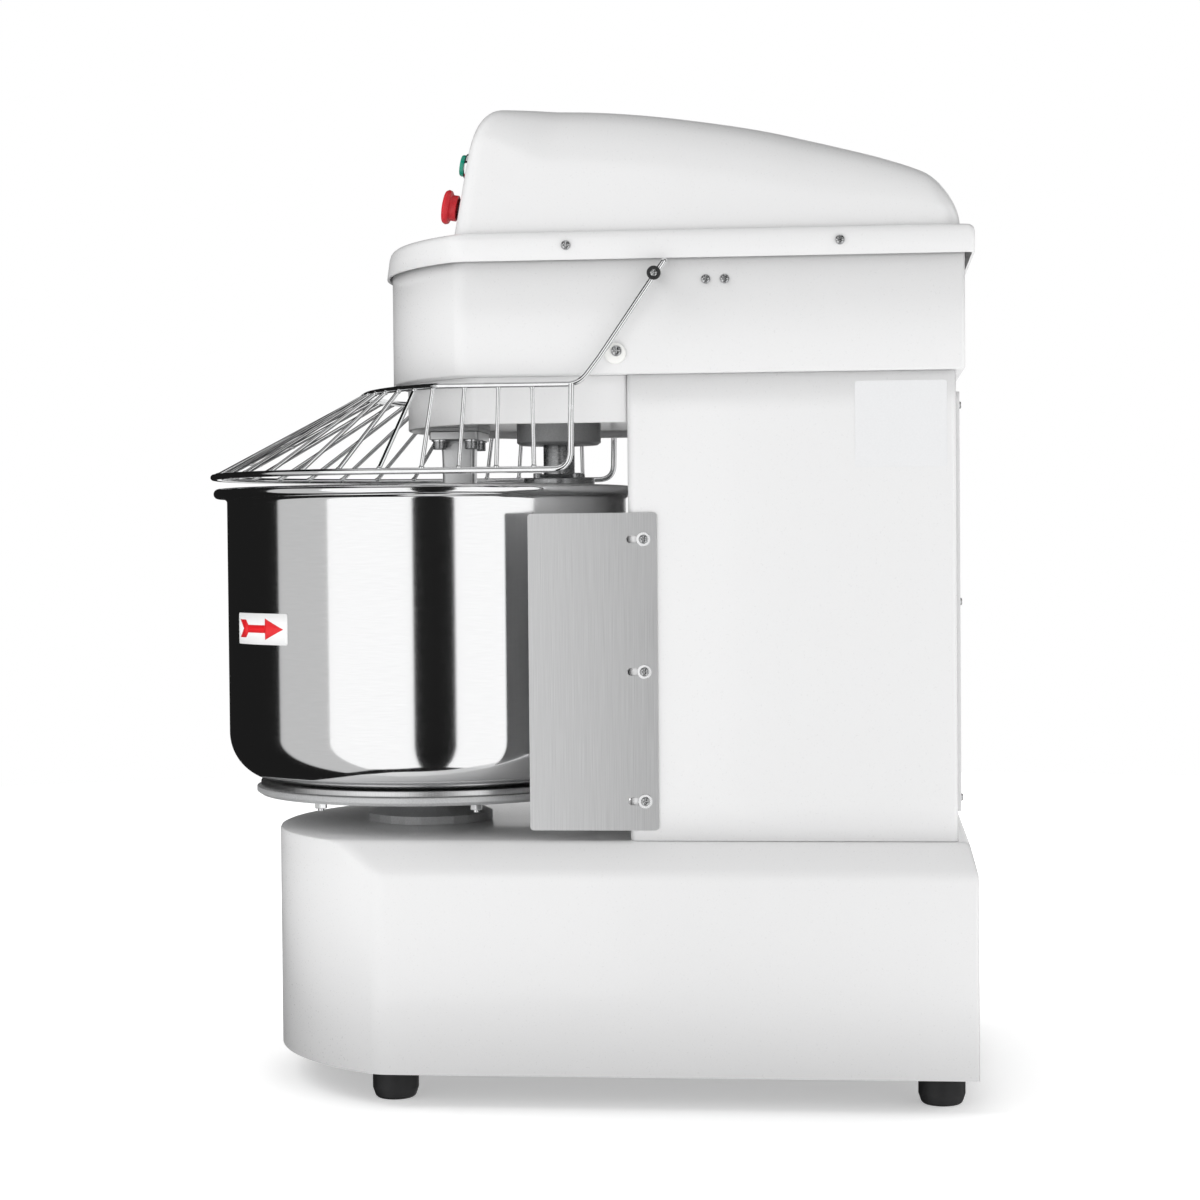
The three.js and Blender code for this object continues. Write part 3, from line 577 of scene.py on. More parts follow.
def dome_section(t):
    """One slice of the dome, parallel to the leaning panel, t behind the panel's foot."""
    to_rear = DOME_LENGTH - t
    top = ease(CROWN_LINE, t)
    top -= BROW_DROP * drop(t, BROW_REACH) + (top - SKIRT_TOP) * TAIL_DROP * drop(to_rear, TAIL_REACH)
    half = DOME_HALF - CORNER_FRONT * drop(t, CORNER_FRONT) - CORNER_REAR * drop(to_rear, CORNER_REAR)
    shoulder = SHOULDER_FRONT + SHOULDER_GROWTH * min(1, t / GROWTH_REACH)
    shoulder = min(shoulder, 0.7 * (top - SKIRT_TOP))
    foot_z = SKIRT_TOP - 0.0008  # sunk into the skirt's top
    wall_top = top - shoulder
    lean = DOME_LEAN * (wall_top - SKIRT_TOP)
    flat = half - lean - shoulder
    right = [(half - lean * k / 6, foot_z + (wall_top - foot_z) * k / 6) for k in range(6)]
    right += arc(flat, wall_top, shoulder, 0, 90, 14)
    crown = CROWN_RISE * min(1, t / CROWN_REACH) * min(1, to_rear / CROWN_REACH)
    right += [(flat * (1 - k / 8), top + crown * (1 - (1 - k / 8) ** 2)) for k in range(1, 9)]
    points = right + [(-x, z) for x, z in right[-2::-1]]
    slope = math.tan(PANEL_LEAN) * (1 - t / DOME_LENGTH)
    return [(x, PANEL_Y + t + (z - PANEL_Z) * slope, z) for x, z in points]


def skirt_section(z, inset, lean):
    """The skirt's outline at a height; its front leans back by lean, which fades out to the rear."""
    fade_start, fade = BOWL_Y + 0.06, 0.1
    outline = d_outline(SKIRT_HALF, SKIRT_FRONT, REAR_Y, inset, 0.006)
    return [(x, y + lean * min(1, max(0, (fade_start - y) / fade)), z) for x, y in outline]


def make_cover():
    level = DOME_LENGTH - TAIL_REACH - BROW_REACH
    stations = [BROW_REACH * (1 - math.cos(math.pi / 2 * k / 16)) for k in range(16)]
    stations += [BROW_REACH + level * k / 40 for k in range(41)]
    stations += [DOME_LENGTH - TAIL_REACH * (1 - math.sin(math.pi / 2 * k / 14)) for k in range(1, 15)]
    bm = bmesh.new()
    stack(bm, [dome_section(t) for t in stations], cap_start=True, cap_end=True, closed=False)
    steps = [(SKIRT_TOP - 0.004, 0.004, 0.004), (SKIRT_BOTTOM, 0.003, 0), (SKIRT_BOTTOM, 0.0006, 0),
             (SKIRT_BOTTOM + 0.0006, 0, 0), (SKIRT_TOP - 0.009, 0, 0.0034),
             (SKIRT_TOP - 0.005, 0.0008, 0.004), (SKIRT_TOP - 0.0025, 0.0025, 0.004),
             (SKIRT_TOP - 0.0008, 0.005, 0.004), (SKIRT_TOP, 0.009, 0.004)]
    stack(bm, [skirt_section(*step) for step in steps], cap_start=True, cap_end=True)
    cover = finish_mesh("top_cover_moulding", bm, PAINT, 60)
    settle(cover, "frame", "powder_coat", "top_cover")


# ---- side plates ----

PLATE_SCREW_Y = BOWL_Y + 0.283
PLATE_SCREW_HEIGHTS = (0.343, 0.489, 0.638)
PLATE_SLOT_RADIUS, PLATE_SLOT_LENGTH = 0.0042, 0.015
WASHER = 0.0012  # thickness of a washer


def make_side_plates():
    slot_end = PLATE_SCREW_Y - PLATE_SLOT_LENGTH
    holes = []
    for z in PLATE_SCREW_HEIGHTS:
        ends = arc(PLATE_SCREW_Y, z, PLATE_SLOT_RADIUS, -90, 90, 10)
        ends += arc(slot_end, z, PLATE_SLOT_RADIUS, 90, 270, 10)
        holes.append(ends[::-1])
    washer = [(0.0028, 0), (0.0078, 0), (0.0082, 0.0004), (0.0078, WASHER), (0.0028, WASHER)]
    for side, place, facing in SIDES:
        node = f"side_plate_{place}"
        low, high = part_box(node)
        inner = low.x if side > 0 else high.x
        thickness = high.x - low.x
        outline = rectangle(low.y, low.z, high.y, high.z, 0.004, 5)
        bm = bmesh.new()
        plate(bm, outline, holes, lambda u, v, depth: (inner + side * depth, u, v), thickness)
        sheet = soften(finish_mesh(f"side_plate_sheet_{place}", bm, BRUSHED), 0.0004, angle=60)
        settle(sheet, "frame", "brushed_steel", node)
        outer = inner + side * (thickness + HAIR)
        for i, z in enumerate(PLATE_SCREW_HEIGHTS):
            ring = lathe(f"plate_washer_{place}_{i + 1}", washer, (outer, PLATE_SCREW_Y, z), CHROME, 32,
                         facing, closed=True)
            settle(ring, "frame", "chrome_wire")
            spot = (outer + side * WASHER, PLATE_SCREW_Y, z)
            add_screw(f"plate_screw_{place}_{i + 1}", spot, facing, PLATE_SCREW, "frame")


# ---- bowl and turntable ----


def make_bowl():
    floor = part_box("bowl")[0].z
    corner, wall, neck, rim = 0.058, 0.003, 0.0035, 0.253
    inner = BOWL_RADIUS - wall
    outer = [(0, floor), (BOWL_RADIUS - corner, floor)]
    outer += arc(BOWL_RADIUS - corner, floor + corner, corner, -90, 0, 20)
    outer += [(BOWL_RADIUS, floor + 0.15), (BOWL_RADIUS, RIM_Z - 0.0115)]
    outer += arc(BOWL_RADIUS + neck, RIM_Z - 0.0105, neck, 180, 120, 5)[1:]
    outer += arc(rim, RIM_Z, BOWL_BEAD, -145, 135, 26)
    inside = [(inner + 0.002, RIM_Z + 0.0015), (inner, RIM_Z - 0.003), (inner, floor + 0.15)]
    inside += arc(BOWL_RADIUS - corner, floor + corner, corner - wall, 0, -90, 18)
    inside += [(0, floor + wall)]
    bowl = lathe("bowl_spun", outer + inside, (0, BOWL_Y, 0), POLISHED, 256, sharp=50)
    settle(bowl, "bowl", "polished_steel", "bowl")


def make_seat_ring():
    low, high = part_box("bowl_seat_ring")
    ring = rectangle(0.15, low.z, high.x, high.z, 0.0012)
    seat = lathe("bowl_seat_ring_turned", ring, (0, BOWL_Y, 0), BRUSHED, 160, closed=True)
    settle(seat, "bowl", "brushed_steel", "bowl_seat_ring")


NUTS = 6
NUT_CIRCLE = 0.186
NUT_PHASE = 0.93  # where the first nut stands, in steps from the front


def make_turntable():
    low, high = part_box("bowl_turntable")
    disc_low = high.z - 0.010
    profile = [(0, low.z), (0.044, low.z), (0.048, disc_low), (0.205, disc_low), (0.211, disc_low + 0.004),
               (0.211, high.z), (0, high.z)]
    table = lathe("bowl_turntable_turned", rounded(profile, 0.001, 3, closed=False), (0, BOWL_Y, 0), CAST,
                  128)
    settle(table, "bowl", "cast_grey", "bowl_turntable")
    stud_profile = [(0, 0), (0.003, 0), (0.0037, 0.0008), (0.0037, 0.003), (0, 0.003)]
    for i, (c, s) in enumerate(circle(NUTS, 2 * math.pi * NUT_PHASE / NUTS - math.pi / 2)):
        x, y = c * NUT_CIRCLE, BOWL_Y + s * NUT_CIRCLE
        hexagon = [(x + u * 0.0075, y + v * 0.0075) for u, v in circle(6)]
        loops = [raised(hexagon, disc_low - 0.0075), raised(hexagon, disc_low - 2 * HAIR)]
        nut = soften(solid(f"turntable_nut_{i + 1}", CHROME, loops), 0.0008)
        settle(nut, "bowl", "chrome_wire")
        stud = lathe(f"turntable_stud_{i + 1}", stud_profile, (x, y, disc_low - 0.0105), CHROME, 20)
        settle(stud, "bowl", "chrome_wire")


# ---- sticker and label ----

STICKER_ANGLE = math.radians(-44.9)  # round the bowl's axis, from +X
STICKER_Z = 0.5376
LAYER = 0.0003  # a layer of film, with the gap under it


def wrap(name, outline, radius, mat):
    """A flat outline (along, up) laid on the bowl's wall at the sticker's place."""
    bm = bmesh.new()
    bm.faces.new([bm.verts.new((u, v, 0)) for u, v in outline])
    left = min(u for u, v in outline)
    right = max(u for u, v in outline)
    strips = 24
    for k in range(1, strips):
        cut_at = left + (right - left) * k / strips
        bmesh.ops.bisect_plane(bm, geom=bm.verts[:] + bm.edges[:] + bm.faces[:], plane_co=(cut_at, 0, 0),
                               plane_no=(1, 0, 0), dist=1e-7)
    for vert in bm.verts:
        angle = STICKER_ANGLE + vert.co.x / radius
        vert.co = Vector((math.cos(angle) * radius, BOWL_Y + math.sin(angle) * radius,
                          STICKER_Z + vert.co.y))
    piece = finish_mesh(name, bm, mat, 60)
    film = piece.modifiers.new("film", "SOLIDIFY")
    film.thickness = LAYER - HAIR
    film.offset = 0
    return piece


def make_sticker():
    paper = rectangle(-0.053, -0.0182, 0.053, 0.0182, 0.003)
    backing = wrap("arrow_sticker_backing", paper, BOWL_RADIUS + LAYER, STICKER)
    settle(backing, "bowl", "white_plastic")
    upper_half = [(0.046, 0), (0.013, 0.0125), (0.013, 0.0045), (-0.025, 0.0045), (-0.031, 0.0105),
                  (-0.047, 0.0105), (-0.037, 0)]
    lower_half = [(x, -y) for x, y in upper_half[-2:0:-1]]
    mark = wrap("arrow_sticker_mark", lower_half + upper_half, BOWL_RADIUS + 2 * LAYER, ARROW)
    settle(mark, "bowl", "red_plastic")


def make_label():
    outline = rectangle(BOWL_Y + 0.520, 0.716, BOWL_Y + 0.622, 0.812, 0.003)
    bm = bmesh.new()
    plate(bm, outline, [], lambda u, v, depth: (COLUMN_HALF + HAIR + depth, u, v), LAYER)
    settle(finish_mesh("rating_label_blank", bm, LABEL), "frame", "white_plastic")


# ---- spiral and breaker bar ----

FLANGE = 0.043  # radius of both flanges of the spiral
BREAKER_FLANGE_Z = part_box("breaker_bar")[1].z - 0.0097  # underside of the breaker bar's flange


def socket_bolt(name, spot, radius, height, facing="Z"):
    """A socket-head bolt."""
    socket = radius * 0.5
    profile = rounded([(0, height * 0.45), (socket, height * 0.45), (socket, height), (radius, height),
                       (radius, 0), (0, 0)], [0, 0, 0.0003, 0.0008, 0, 0], 3, closed=False)
    return lathe(name, profile, spot, STEEL, 32, facing)


def make_spiral_housing():
    low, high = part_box("spiral_bearing_housing")
    profile = rounded([(0.022, low.z), (0.047, low.z), (0.051, low.z + 0.003), (0.051, high.z),
                       (0.022, high.z)], 0.001, 3)
    housing = lathe("spiral_bearing_housing_turned", profile, (0, SPIRAL_Y, 0), CAST, closed=True)
    settle(housing, "frame", "cast_grey", "spiral_bearing_housing")


def make_spiral_shaft():
    low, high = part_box("spiral_shaft")
    flange_top = low.z + 0.013
    profile = rounded([(0, low.z), (FLANGE, low.z), (FLANGE, flange_top), (0.0215, flange_top),
                       (0.019, low.z + 0.018), (0.019, high.z), (0, high.z)],
                      [0, 0.0012, 0.0012, 0.001, 0.001, 0.001, 0], 3, closed=False)
    shaft = lathe("spiral_shaft_turned", profile, (0, SPIRAL_Y, 0), STEEL)
    settle(shaft, "spiral", "machined_steel", "spiral_shaft")


def hook_path(top):
    """The hook's rod: out of its hub, round in a widening turn, and tucked in at its foot."""
    start_z, end_z, turns, sweep, steps = 0.672, 0.392, 1.25, 0.055, 120
    widen, tuck_from, tuck_by = 0.3, 0.8, 0.42  # shares of the way, and of the sweep
    path = [(0, SPIRAL_Y, top - 0.02)]
    for i in range(steps + 1):
        t = i / steps
        angle = t * turns * 2 * math.pi - math.pi / 2
        reach = sweep * math.sin(min(t / widen, 1) * math.pi / 2)
        reach *= 1 - max(0.0, t - tuck_from) / (1 - tuck_from) * tuck_by
        path.append((math.cos(angle) * reach, SPIRAL_Y + math.sin(angle) * reach,
                     start_z + (end_z - start_z) * t))
    return path


def hook_radius(share):
    """The rod's radius, which rounds off over the last stretch to a small flat tip."""
    rod, nose_from, nose, tip = 0.0158, 0.94, 0.0601, 0.25
    if share < nose_from:
        return rod
    return rod * max(tip, math.sqrt(max(0.0, 1 - ((share - nose_from) / nose) ** 2)))


def make_spiral_hook():
    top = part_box("spiral_hook")[1].z
    bm = bmesh.new()
    add_tube(bm, hook_path(top), hook_radius, 24)
    hub = rounded([(0, top - 0.05), (0.02, top - 0.05), (0.023, top - 0.013), (FLANGE, top - 0.012),
                   (FLANGE, top), (0, top)], [0, 0.004, 0.006, 0.0015, 0.0015, 0], 4, closed=False)
    revolve(bm, hub, 96, (0, SPIRAL_Y))
    hook = finish_mesh("spiral_hook_forged", bm, POLISHED, 40)
    settle(hook, "spiral", "polished_steel", "spiral_hook")


def make_spiral_bolts():
    bolt_circle, bolt_z = 0.033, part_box("spiral_hook")[1].z + 0.0132
    for i, (c, s) in enumerate(circle(4, math.pi / 4)):
        spot = (c * bolt_circle, SPIRAL_Y + s * bolt_circle, bolt_z)
        bolt = socket_bolt(f"spiral_flange_bolt_{i + 1}", spot, 0.0055, 0.006)
        settle(bolt, "spiral", "machined_steel")


def make_breaker_adapter():
    low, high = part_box("breaker_adapter_plate")
    outline = rectangle(low.x, low.y, high.x, high.y, 0.003)
    seam = (low.z + high.z) / 2
    seam_low = seam - 0.0004
    inner = [(x * 0.985, BREAKER_Y + (y - BREAKER_Y) * 0.975) for x, y in outline]
    lower_plate = [raised(outline, low.z), raised(outline, seam_low)]
    upper_plate = [raised(inner, seam_low), raised(outline, seam), raised(outline, high.z)]
    adapter = soften(solid("breaker_adapter_stack", CAST, lower_plate, upper_plate), 0.0005)
    settle(adapter, "frame", "cast_grey", "breaker_adapter_plate")


def make_breaker_bar():
    low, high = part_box("breaker_bar")
    outline = rectangle(low.x, low.y, high.x, high.y, 0.004)
    flange = [raised(outline, BREAKER_FLANGE_Z), raised(outline, high.z)]
    # Heights down the bar, with its half width along Y and along X.
    spans = [(BREAKER_FLANGE_Z, 0.0215, 0.0165), (BREAKER_FLANGE_Z - 0.004, 0.0205, 0.0155),
             (BREAKER_FLANGE_Z - 0.02, 0.0198, 0.015), (low.z + 0.02, 0.0155, 0.0118),
             (low.z + 0.006, 0.0145, 0.011), (low.z + 0.0015, 0.012, 0.0085), (low.z, 0.008, 0.006)]
    shank = []
    for z, half_y, half_x in spans:
        section = rectangle(-half_x, BREAKER_Y - half_y, half_x, BREAKER_Y + half_y, 0.005, 6)
        shank.append(raised(section, z))
    bar = soften(solid("breaker_bar_forged", FORGED, flange, shank, sharp=40), 0.0008, angle=50)
    settle(bar, "frame", "brushed_steel", "breaker_bar")


def make_breaker_bolts():
    washer_depth = 0.0016
    washer = [(0.004, 0), (0.0095, 0), (0.0095, -washer_depth), (0.004, -washer_depth)]
    spots = [(x, BREAKER_Y + y) for x in (-0.033, 0.033) for y in (-0.0195, 0.0195)]
    for i, (x, y) in enumerate(spots):
        ring = lathe(f"breaker_washer_{i + 1}", washer, (x, y, BREAKER_FLANGE_Z), CHROME, 32, closed=True)
        settle(ring, "frame", "chrome_wire")
        spot = (x, y, BREAKER_FLANGE_Z - washer_depth)
        bolt = socket_bolt(f"breaker_bolt_{i + 1}", spot, 0.0078, 0.0098, "-Z")
        settle(bolt, "frame", "machined_steel")


# ---- wire guard ----

GUARD_RADIUS = 0.259  # lower wire, round the bowl
GUARD_REAR = BOWL_Y + 0.204
GUARD_LOW_Z = 0.717
LOWER_BEND = GUARD_RADIUS * math.pi / 2  # length of the lower wire's round stretch, to one side
GUARD_HALF = 0.2555  # upper wire, across its arms
GUARD_HIGH_Z = 0.812
UPPER_ARC, UPPER_ARC_Y = 0.3217, BOWL_Y + 0.2507
UPPER_BEND = math.asin(GUARD_HALF / UPPER_ARC) * UPPER_ARC
LOWER_WIRE, UPPER_WIRE, SPOKE = 0.0036, 0.0034, 0.0025  # radii
SPOKES_PER_SIDE, SPOKES_ON_BEND = 12, 9
LOWER_STEP, LOWER_REAR_STEP = 0.0492, 0.0425  # from spoke to spoke, along each wire
UPPER_STEP, UPPER_REAR_STEP = 0.032, 0.038
GUARD_STOP_Y, GUARD_STOP_Z = BOWL_Y + 0.254, 0.846


def lower_wire(s):
    """The point s along the lower wire, from the front; s is negative to the left."""
    side = 1 if s >= 0 else -1
    angle = min(abs(s), LOWER_BEND) / GUARD_RADIUS
    y = BOWL_Y - math.cos(angle) * GUARD_RADIUS + max(0, abs(s) - LOWER_BEND)
    return Vector((side * math.sin(angle) * GUARD_RADIUS, y, GUARD_LOW_Z))


def upper_wire(s):
    """The point s along the upper wire, from the front; s is negative to the left."""
    side = 1 if s >= 0 else -1
    angle = min(abs(s), UPPER_BEND) / UPPER_ARC
    y = UPPER_ARC_Y - math.cos(angle) * UPPER_ARC + max(0, abs(s) - UPPER_BEND)
    return Vector((side * math.sin(angle) * UPPER_ARC, y, GUARD_HIGH_Z))


def spoke_ends(k):
    """Where spoke k meets the lower and the upper wire; spoke 0 is at the front."""
    side = 1 if k >= 0 else -1
    on_bend = min(abs(k), SPOKES_ON_BEND)
    beyond = abs(k) - on_bend
    low = lower_wire(side * (on_bend * LOWER_STEP + beyond * LOWER_REAR_STEP))
    high = upper_wire(side * (on_bend * UPPER_STEP + beyond * UPPER_REAR_STEP))
    return low, high


def both_sides(right):
    """A wire's whole path, from its right half, which starts at the front."""
    return [Vector((-p.x, p.y, p.z)) for p in right[:0:-1]] + right


def add_wires(bm):
    bend = [lower_wire(LOWER_BEND * k / 40) for k in range(41)]
    end = [(GUARD_RADIUS, GUARD_REAR, GUARD_LOW_Z), (GUARD_HALF + 0.0015, GUARD_REAR + 0.002, GUARD_HIGH_Z)]
    add_tube(bm, both_sides(bend + smooth_path([bend[-1]] + end, 0.02)[1:]), LOWER_WIRE, 16)

    bend = [upper_wire(UPPER_BEND * k / 30) for k in range(31)]
    arm = [(GUARD_HALF, BOWL_Y + 0.215, GUARD_HIGH_Z), (GUARD_HALF, BOWL_Y + 0.238, 0.842),
           (GUARD_HALF, PIVOT_Y + 0.0105, PIVOT_Z + 0.0133),
           (GUARD_HALF - 0.002, PIVOT_Y + 0.012, PIVOT_Z + 0.0135)]
    add_tube(bm, both_sides(bend[:-3] + smooth_path(bend[-3:] + arm, 0.03)), UPPER_WIRE, 16)


def add_spokes(bm):
    for k in range(-SPOKES_PER_SIDE, SPOKES_PER_SIDE + 1):
        low, high = spoke_ends(k)
        along = (high - low).normalized()
        add_tube(bm, [low + along * 0.001, high - along * 0.001], SPOKE, 12)
        for point in (low + along * 0.0035, high - along * 0.0035):
            weld = bmesh.ops.create_icosphere(bm, subdivisions=2, radius=0.0033)
            bmesh.ops.translate(bm, verts=weld["verts"], vec=point)
    # Two short wires tie the front three spokes together.
    (low_a, high_a), (low_b, high_b) = spoke_ends(-1), spoke_ends(1)
    for share in (0.19, 0.42):
        a, b = low_a.lerp(high_a, share), low_b.lerp(high_b, share)
        overhang = (b - a).normalized() * 0.006
        add_tube(bm, [a - overhang, b + overhang], SPOKE, 12)


def make_wire_guard():
    bm = bmesh.new()
    add_wires(bm)
    add_spokes(bm)
    guard = finish_mesh("wire_guard_welded", bm, CHROME, 50)
    settle(guard, "guard", "chrome_wire", "wire_guard")


def make_pivots_and_stops():
    collar_profile = rectangle(0.0045, 0, 0.0078, 0.0048, 0.0012)
    stop_profile = rounded([(0, 0), (0.012, 0), (0.012, 0.0038), (0, 0.0038)], [0, 0, 0.0012, 0], 4,
                           closed=False)
    for side, place, facing in SIDES:
        low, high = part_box(f"guard_collar_{place}")
        face = low.x if side > 0 else high.x
        collar = lathe(f"guard_collar_ring_{place}", collar_profile, (face, PIVOT_Y, PIVOT_Z), BLACK, 40,
                       facing, closed=True)
        settle(collar, "guard", "black_plastic", f"guard_collar_{place}")
        spot = (face + side * 0.0018, PIVOT_Y, PIVOT_Z)
        add_screw(f"guard_pivot_screw_{place}", spot, facing, PIVOT_SCREW, "guard")
        low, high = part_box(f"guard_stop_{place}")
        face = low.x if side > 0 else high.x
        stop = lathe(f"guard_stop_disc_{place}", stop_profile, (face, GUARD_STOP_Y, GUARD_STOP_Z), WHITE,
                     48, facing)
        settle(stop, "frame", "white_plastic", f"guard_stop_{place}")
        spot = (face + side * 0.0036, GUARD_STOP_Y + 0.0015, GUARD_STOP_Z + 0.0025)
        add_screw(f"guard_stop_screw_{place}", spot, facing, GUARD_STOP_SCREW, "frame")


# ---- controls ----

CONTROL_X = 0.185
START_Z, STOP_Z, SPEED_Z = 1.0655, 1.017, 1.045

# Each profile holds (radius, height) pairs; height 0 is the panel's face.
START_BEZEL = [(0.0092, -0.02), (0.0108, -0.02), (0.0108, 0.0004), (0.0144, 0.0004), (0.0144, 0.0042),
               (0.0136, 0.0056), (0.0129, 0.0056), (0.0129, 0.0013), (0.0092, 0.0013)]
START_CAP = [(0, -0.012), (0.0088, -0.012), (0.0088, 0.0055), (0.0122, 0.0055), (0.0122, 0.0094),
             (0.0112, 0.0108), (0, 0.0115)]
STOP_COLLAR = [(0.0062, -0.02), (0.0108, -0.02), (0.0108, 0.0004), (0.0118, 0.0004), (0.0118, 0.0048),
               (0.0062, 0.0048)]
STOP_HEAD = [(0, -0.02), (0.0058, -0.02), (0.0058, 0.011), (0.0124, 0.011), (0.0124, 0.0066),
             (0.0148, 0.0066), (0.0147, 0.0135), (0.0188, 0.0152), (0.0198, 0.0188), (0.018, 0.0222),
             (0.011, 0.0236), (0, 0.024)]
STOP_HEAD_RADII = [0, 0, 0, 0, 0.0005, 0.0008, 0.002, 0.0014, 0.002, 0.003, 0.006, 0]
SPEED_BEZEL = [(0.0092, -0.02), (0.0108, -0.02), (0.0108, 0.0005), (0.0148, 0.0005), (0.0148, 0.0035),
               (0.0132, 0.0062), (0.0092, 0.0062)]
SPEED_DIAL = [(0, -0.014), (0.0088, -0.014), (0.0088, 0.0068), (0.0128, 0.0068), (0.0118, 0.012),
              (0, 0.0122)]
SPEED_DIAL_RADII = [0, 0, 0, 0.0006, 0.001, 0]


def on_panel(x, z):
    """The frame of a control: its z axis leaves the panel."""
    y = PANEL_Y + (z - PANEL_Z) * math.tan(PANEL_LEAN)
    return Matrix.Translation((x, y, z)) @ Matrix.Rotation(math.pi / 2 - PANEL_LEAN, 4, "X")


START, STOP = on_panel(CONTROL_X, START_Z), on_panel(CONTROL_X, STOP_Z)
SPEED = on_panel(-CONTROL_X, SPEED_Z)


def control(name, profile, place, mat, body, slot, *nodes, radii=0.0008, closed=False):
    """A turned control on the panel."""
    piece = lathe(name, rounded(profile, radii, 4, closed), (0, 0, 0), mat, 64, closed=closed)
    piece.data.transform(place)
    settle(piece, body, slot, *nodes)


def make_controls():
    control("start_bezel_ring", START_BEZEL, START, CHROME, "frame", "chrome_wire", "start_button_bezel",
            closed=True, radii=0.0005)
    control("start_button_cap", START_CAP, START, GREEN, "start_button", "green_plastic", "start_button")
    control("speed_bezel_ring", SPEED_BEZEL, SPEED, BLACK, "frame", "black_plastic",
            "speed_selector_bezel", closed=True)
    control("stop_collar_sleeve", STOP_COLLAR, STOP, BLACK, "frame", "black_plastic",
            "stop_button_collar", closed=True)
    control("stop_button_mushroom", STOP_HEAD, STOP, RED, "stop_button", "red_plastic", "stop_button",
            radii=STOP_HEAD_RADII)


def make_speed_knob():
    dial_top, grip_top = 0.0118, 0.0228
    bm = bmesh.new()
    revolve(bm, rounded(SPEED_DIAL, SPEED_DIAL_RADII, 4, closed=False), 64)
    grip = rounded([(-0.0035, -0.0115), (0.0035, -0.0115), (0.0028, 0.0118), (-0.0028, 0.0118)], 0.0012, 4)
    narrow = [(x * 0.8, y * 0.94) for x, y in grip]
    stack(bm, [raised(grip, dial_top), raised(grip, 0.0205), raised(narrow, grip_top)], True, True)
    knob = finish_mesh("speed_knob_moulded", bm, BLACK)
    knob.data.transform(SPEED)
    settle(knob, "speed_knob", "black_plastic", "speed_selector_knob")
    mark = [(-0.0006, 0.003), (0.0006, 0.003), (0.0006, 0.0105), (-0.0006, 0.0105)]
    loops = [raised(mark, grip_top - 0.0002), raised(mark, grip_top + 0.0003)]
    line = solid("speed_knob_pointer", WHITE, loops)
    line.data.transform(SPEED)
    settle(line, "speed_knob", "white_plastic")


# ---- stage ----

FLOOR_RADIUS = 4
# The floor's own glow grows with distance from the machine, so that it ends in white.
GLOW = {"From Min": 0.45, "From Max": 1.0, "To Min": 0.38, "To Max": 0.8}
SEEN, FILL, MIRRORED = 1.0, 0.5, 0.012  # the world's strength for camera, diffuse and glossy rays
SOFT_BOX_DISTANCE, SOFT_BOX_Z, SOFT_BOX_HEIGHT = 3.3, -1.75, 8.5


def make_floor():
    bm = bmesh.new()
    bm.faces.new([bm.verts.new((x, y, 0)) for x, y in arc(0, 0, FLOOR_RADIUS, 0, 360, 96)[:-1]])
    ground = material("studio_floor", (0.8, 0.8, 0.8), 0.9, grain=3, tint=0.002, rough_swing=0.02)
    nodes, links = ground.node_tree.nodes, ground.node_tree.links
    shader = nodes["Principled BSDF"]
    shader.inputs["Emission Color"].default_value = (1, 1, 1, 1)
    away = nodes.new("ShaderNodeVectorMath")
    away.operation = "LENGTH"
    grow = nodes.new("ShaderNodeMapRange")
    for socket, value in GLOW.items():
        grow.inputs[socket].default_value = value
    links.new(nodes["Texture Coordinate"].outputs["Object"], away.inputs[0])
    links.new(away.outputs["Value"], grow.inputs["Value"])
    links.new(grow.outputs["Result"], shader.inputs["Emission Strength"])
    floor = finish_mesh("studio_floor", bm, ground)
    floor.visible_glossy = False


def white(background, strength):
    """Makes a background node white, and gives its output."""
    background.inputs["Color"].default_value = (1, 1, 1, 1)
    background.inputs["Strength"].default_value = strength
    return background.outputs["Background"]


def make_world():
    world = bpy.data.worlds.new("studio")
    bpy.context.scene.world = world
    world.use_nodes = True
    nodes, links = world.node_tree.nodes, world.node_tree.links
    rays = nodes.new("ShaderNodeLightPath")
    shade = white(nodes.new("ShaderNodeBackground"), FILL)
    mirrored = white(nodes.new("ShaderNodeBackground"), MIRRORED)
    seen = white(nodes["Background"], SEEN)
    for ray, instead in (("Is Glossy Ray", mirrored), ("Is Camera Ray", seen)):
        pick = nodes.new("ShaderNodeMixShader")
        links.new(rays.outputs[ray], pick.inputs["Fac"])
        links.new(shade, pick.inputs[1])
        links.new(instead, pick.inputs[2])
        shade = pick.outputs["Shader"]
    links.new(shade, nodes["World Output"].inputs["Surface"])


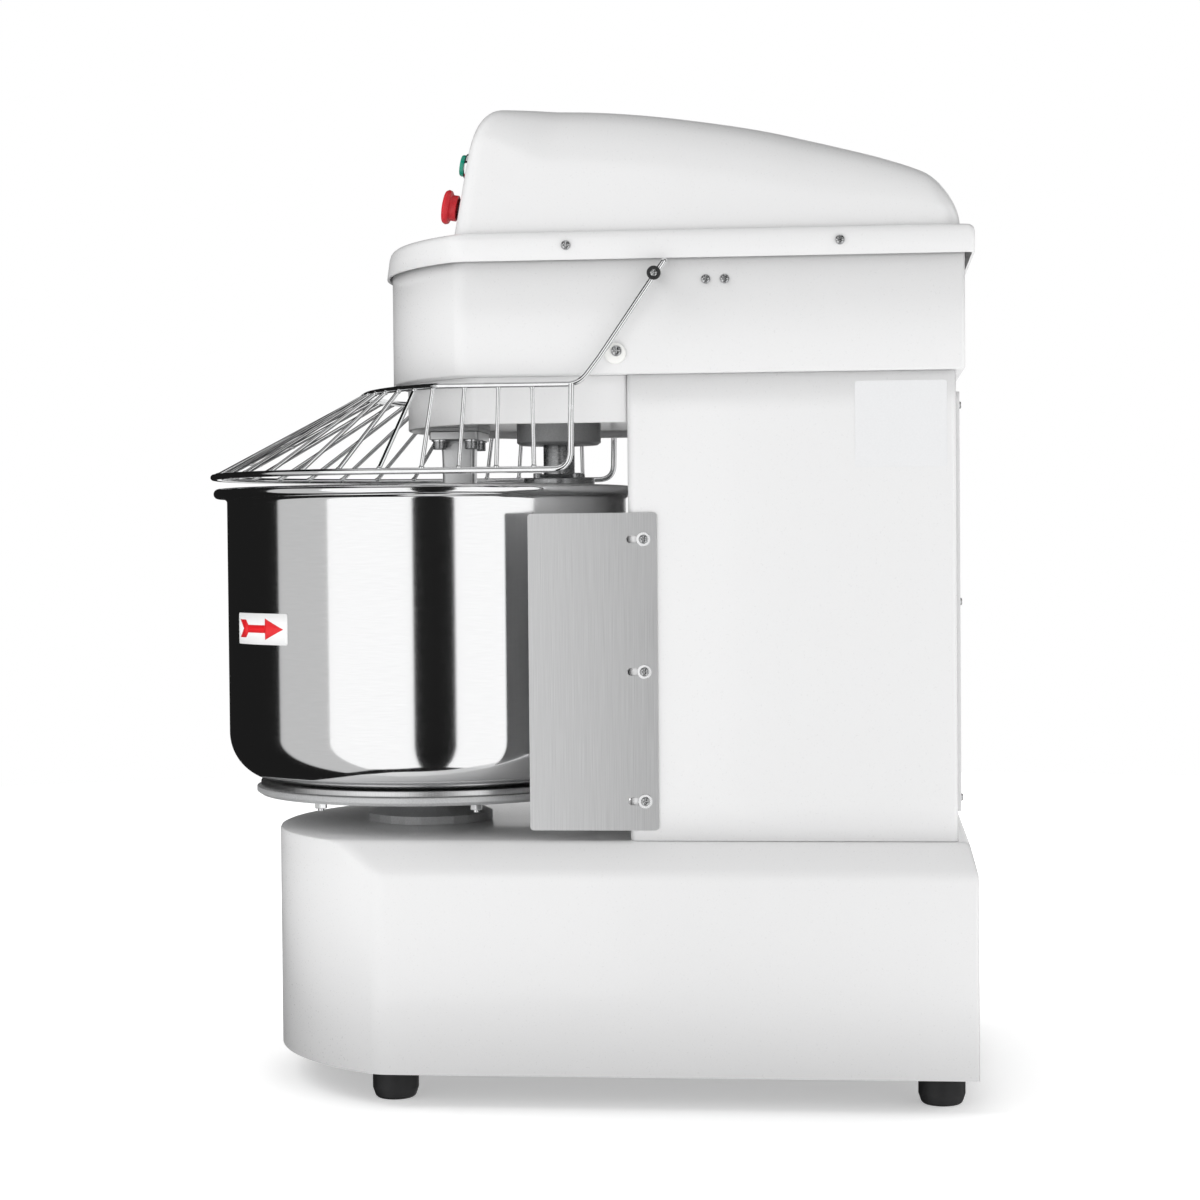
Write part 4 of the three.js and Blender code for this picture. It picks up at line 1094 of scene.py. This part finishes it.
def area_light(name, spot, target, width, height, radiance, mirrored=True, lights=True):
    """A lamp whose power follows from its size and how bright it looks."""
    data = bpy.data.lights.new(name, "AREA")
    data.shape = "RECTANGLE"
    data.size, data.size_y = width, height
    data.energy = radiance * math.pi * width * height
    lamp = bpy.data.objects.new(name, data)
    aim = Vector(target) - Vector(spot)
    lamp.matrix_world = Matrix.Translation(spot) @ aim.to_track_quat("-Z", "Y").to_matrix().to_4x4()
    lamp.visible_glossy = mirrored
    lamp.visible_diffuse = lights
    bpy.context.collection.objects.link(lamp)


def soft_box(name, azimuth, spread, radiance):
    """A tall soft box that stands round the bowl's axis; angles in degrees from +X towards +Y."""
    turn = math.radians(azimuth)
    axis = Vector((0, BOWL_Y, SOFT_BOX_Z))
    spot = axis + Vector((math.cos(turn), math.sin(turn), 0)) * SOFT_BOX_DISTANCE
    width = 2 * SOFT_BOX_DISTANCE * math.tan(math.radians(spread / 2))
    area_light(name, spot, axis, width, SOFT_BOX_HEIGHT, radiance)


def make_lights():
    soft_box("key_front", -22.9, 47.8, 1.04)
    soft_box("key_rear", 46.2, 45.5, 1.04)
    soft_box("dim_front", -64, 35, 0.55)
    area_light("ceiling", (0.9, -0.1, 3.4), (0.5, -0.1, 0), 3.0, 3.0, 0.5, lights=False)
    area_light("front", (0.4, -2.2, 2.8), (0, 0, 0.6), 2.0, 2.0, 2.7, mirrored=False)
    soft_box("far_side", 168, 40, 0.9)
    soft_box("rear", 102, 34, 0.8)


def dress_cad_nodes():
    """Gives every CAD node its finish, and rounded edges to those that still show."""
    for part in frame["record"]["subparts"]:
        node = frame["nodes"][part["node"]]
        node.data.materials.clear()
        node.data.materials.append(SLOT_FINISH[part["material_slot"]])
        if not node.hide_render:
            soften(node, 0.0008, angle=35)


make_camera()
make_base()
make_feet()
make_column()
make_rear_panel()
make_head_box()
make_sub_box()
make_cover()
make_screws()
make_side_plates()
make_bowl()
make_seat_ring()
make_turntable()
make_sticker()
make_label()
make_spiral_housing()
make_spiral_shaft()
make_spiral_hook()
make_spiral_bolts()
make_breaker_adapter()
make_breaker_bar()
make_breaker_bolts()
make_wire_guard()
make_pivots_and_stops()
make_controls()
make_speed_knob()
dress_cad_nodes()
make_floor()
bpy.context.scene.view_settings.view_transform = "Standard"
make_world()
make_lights()
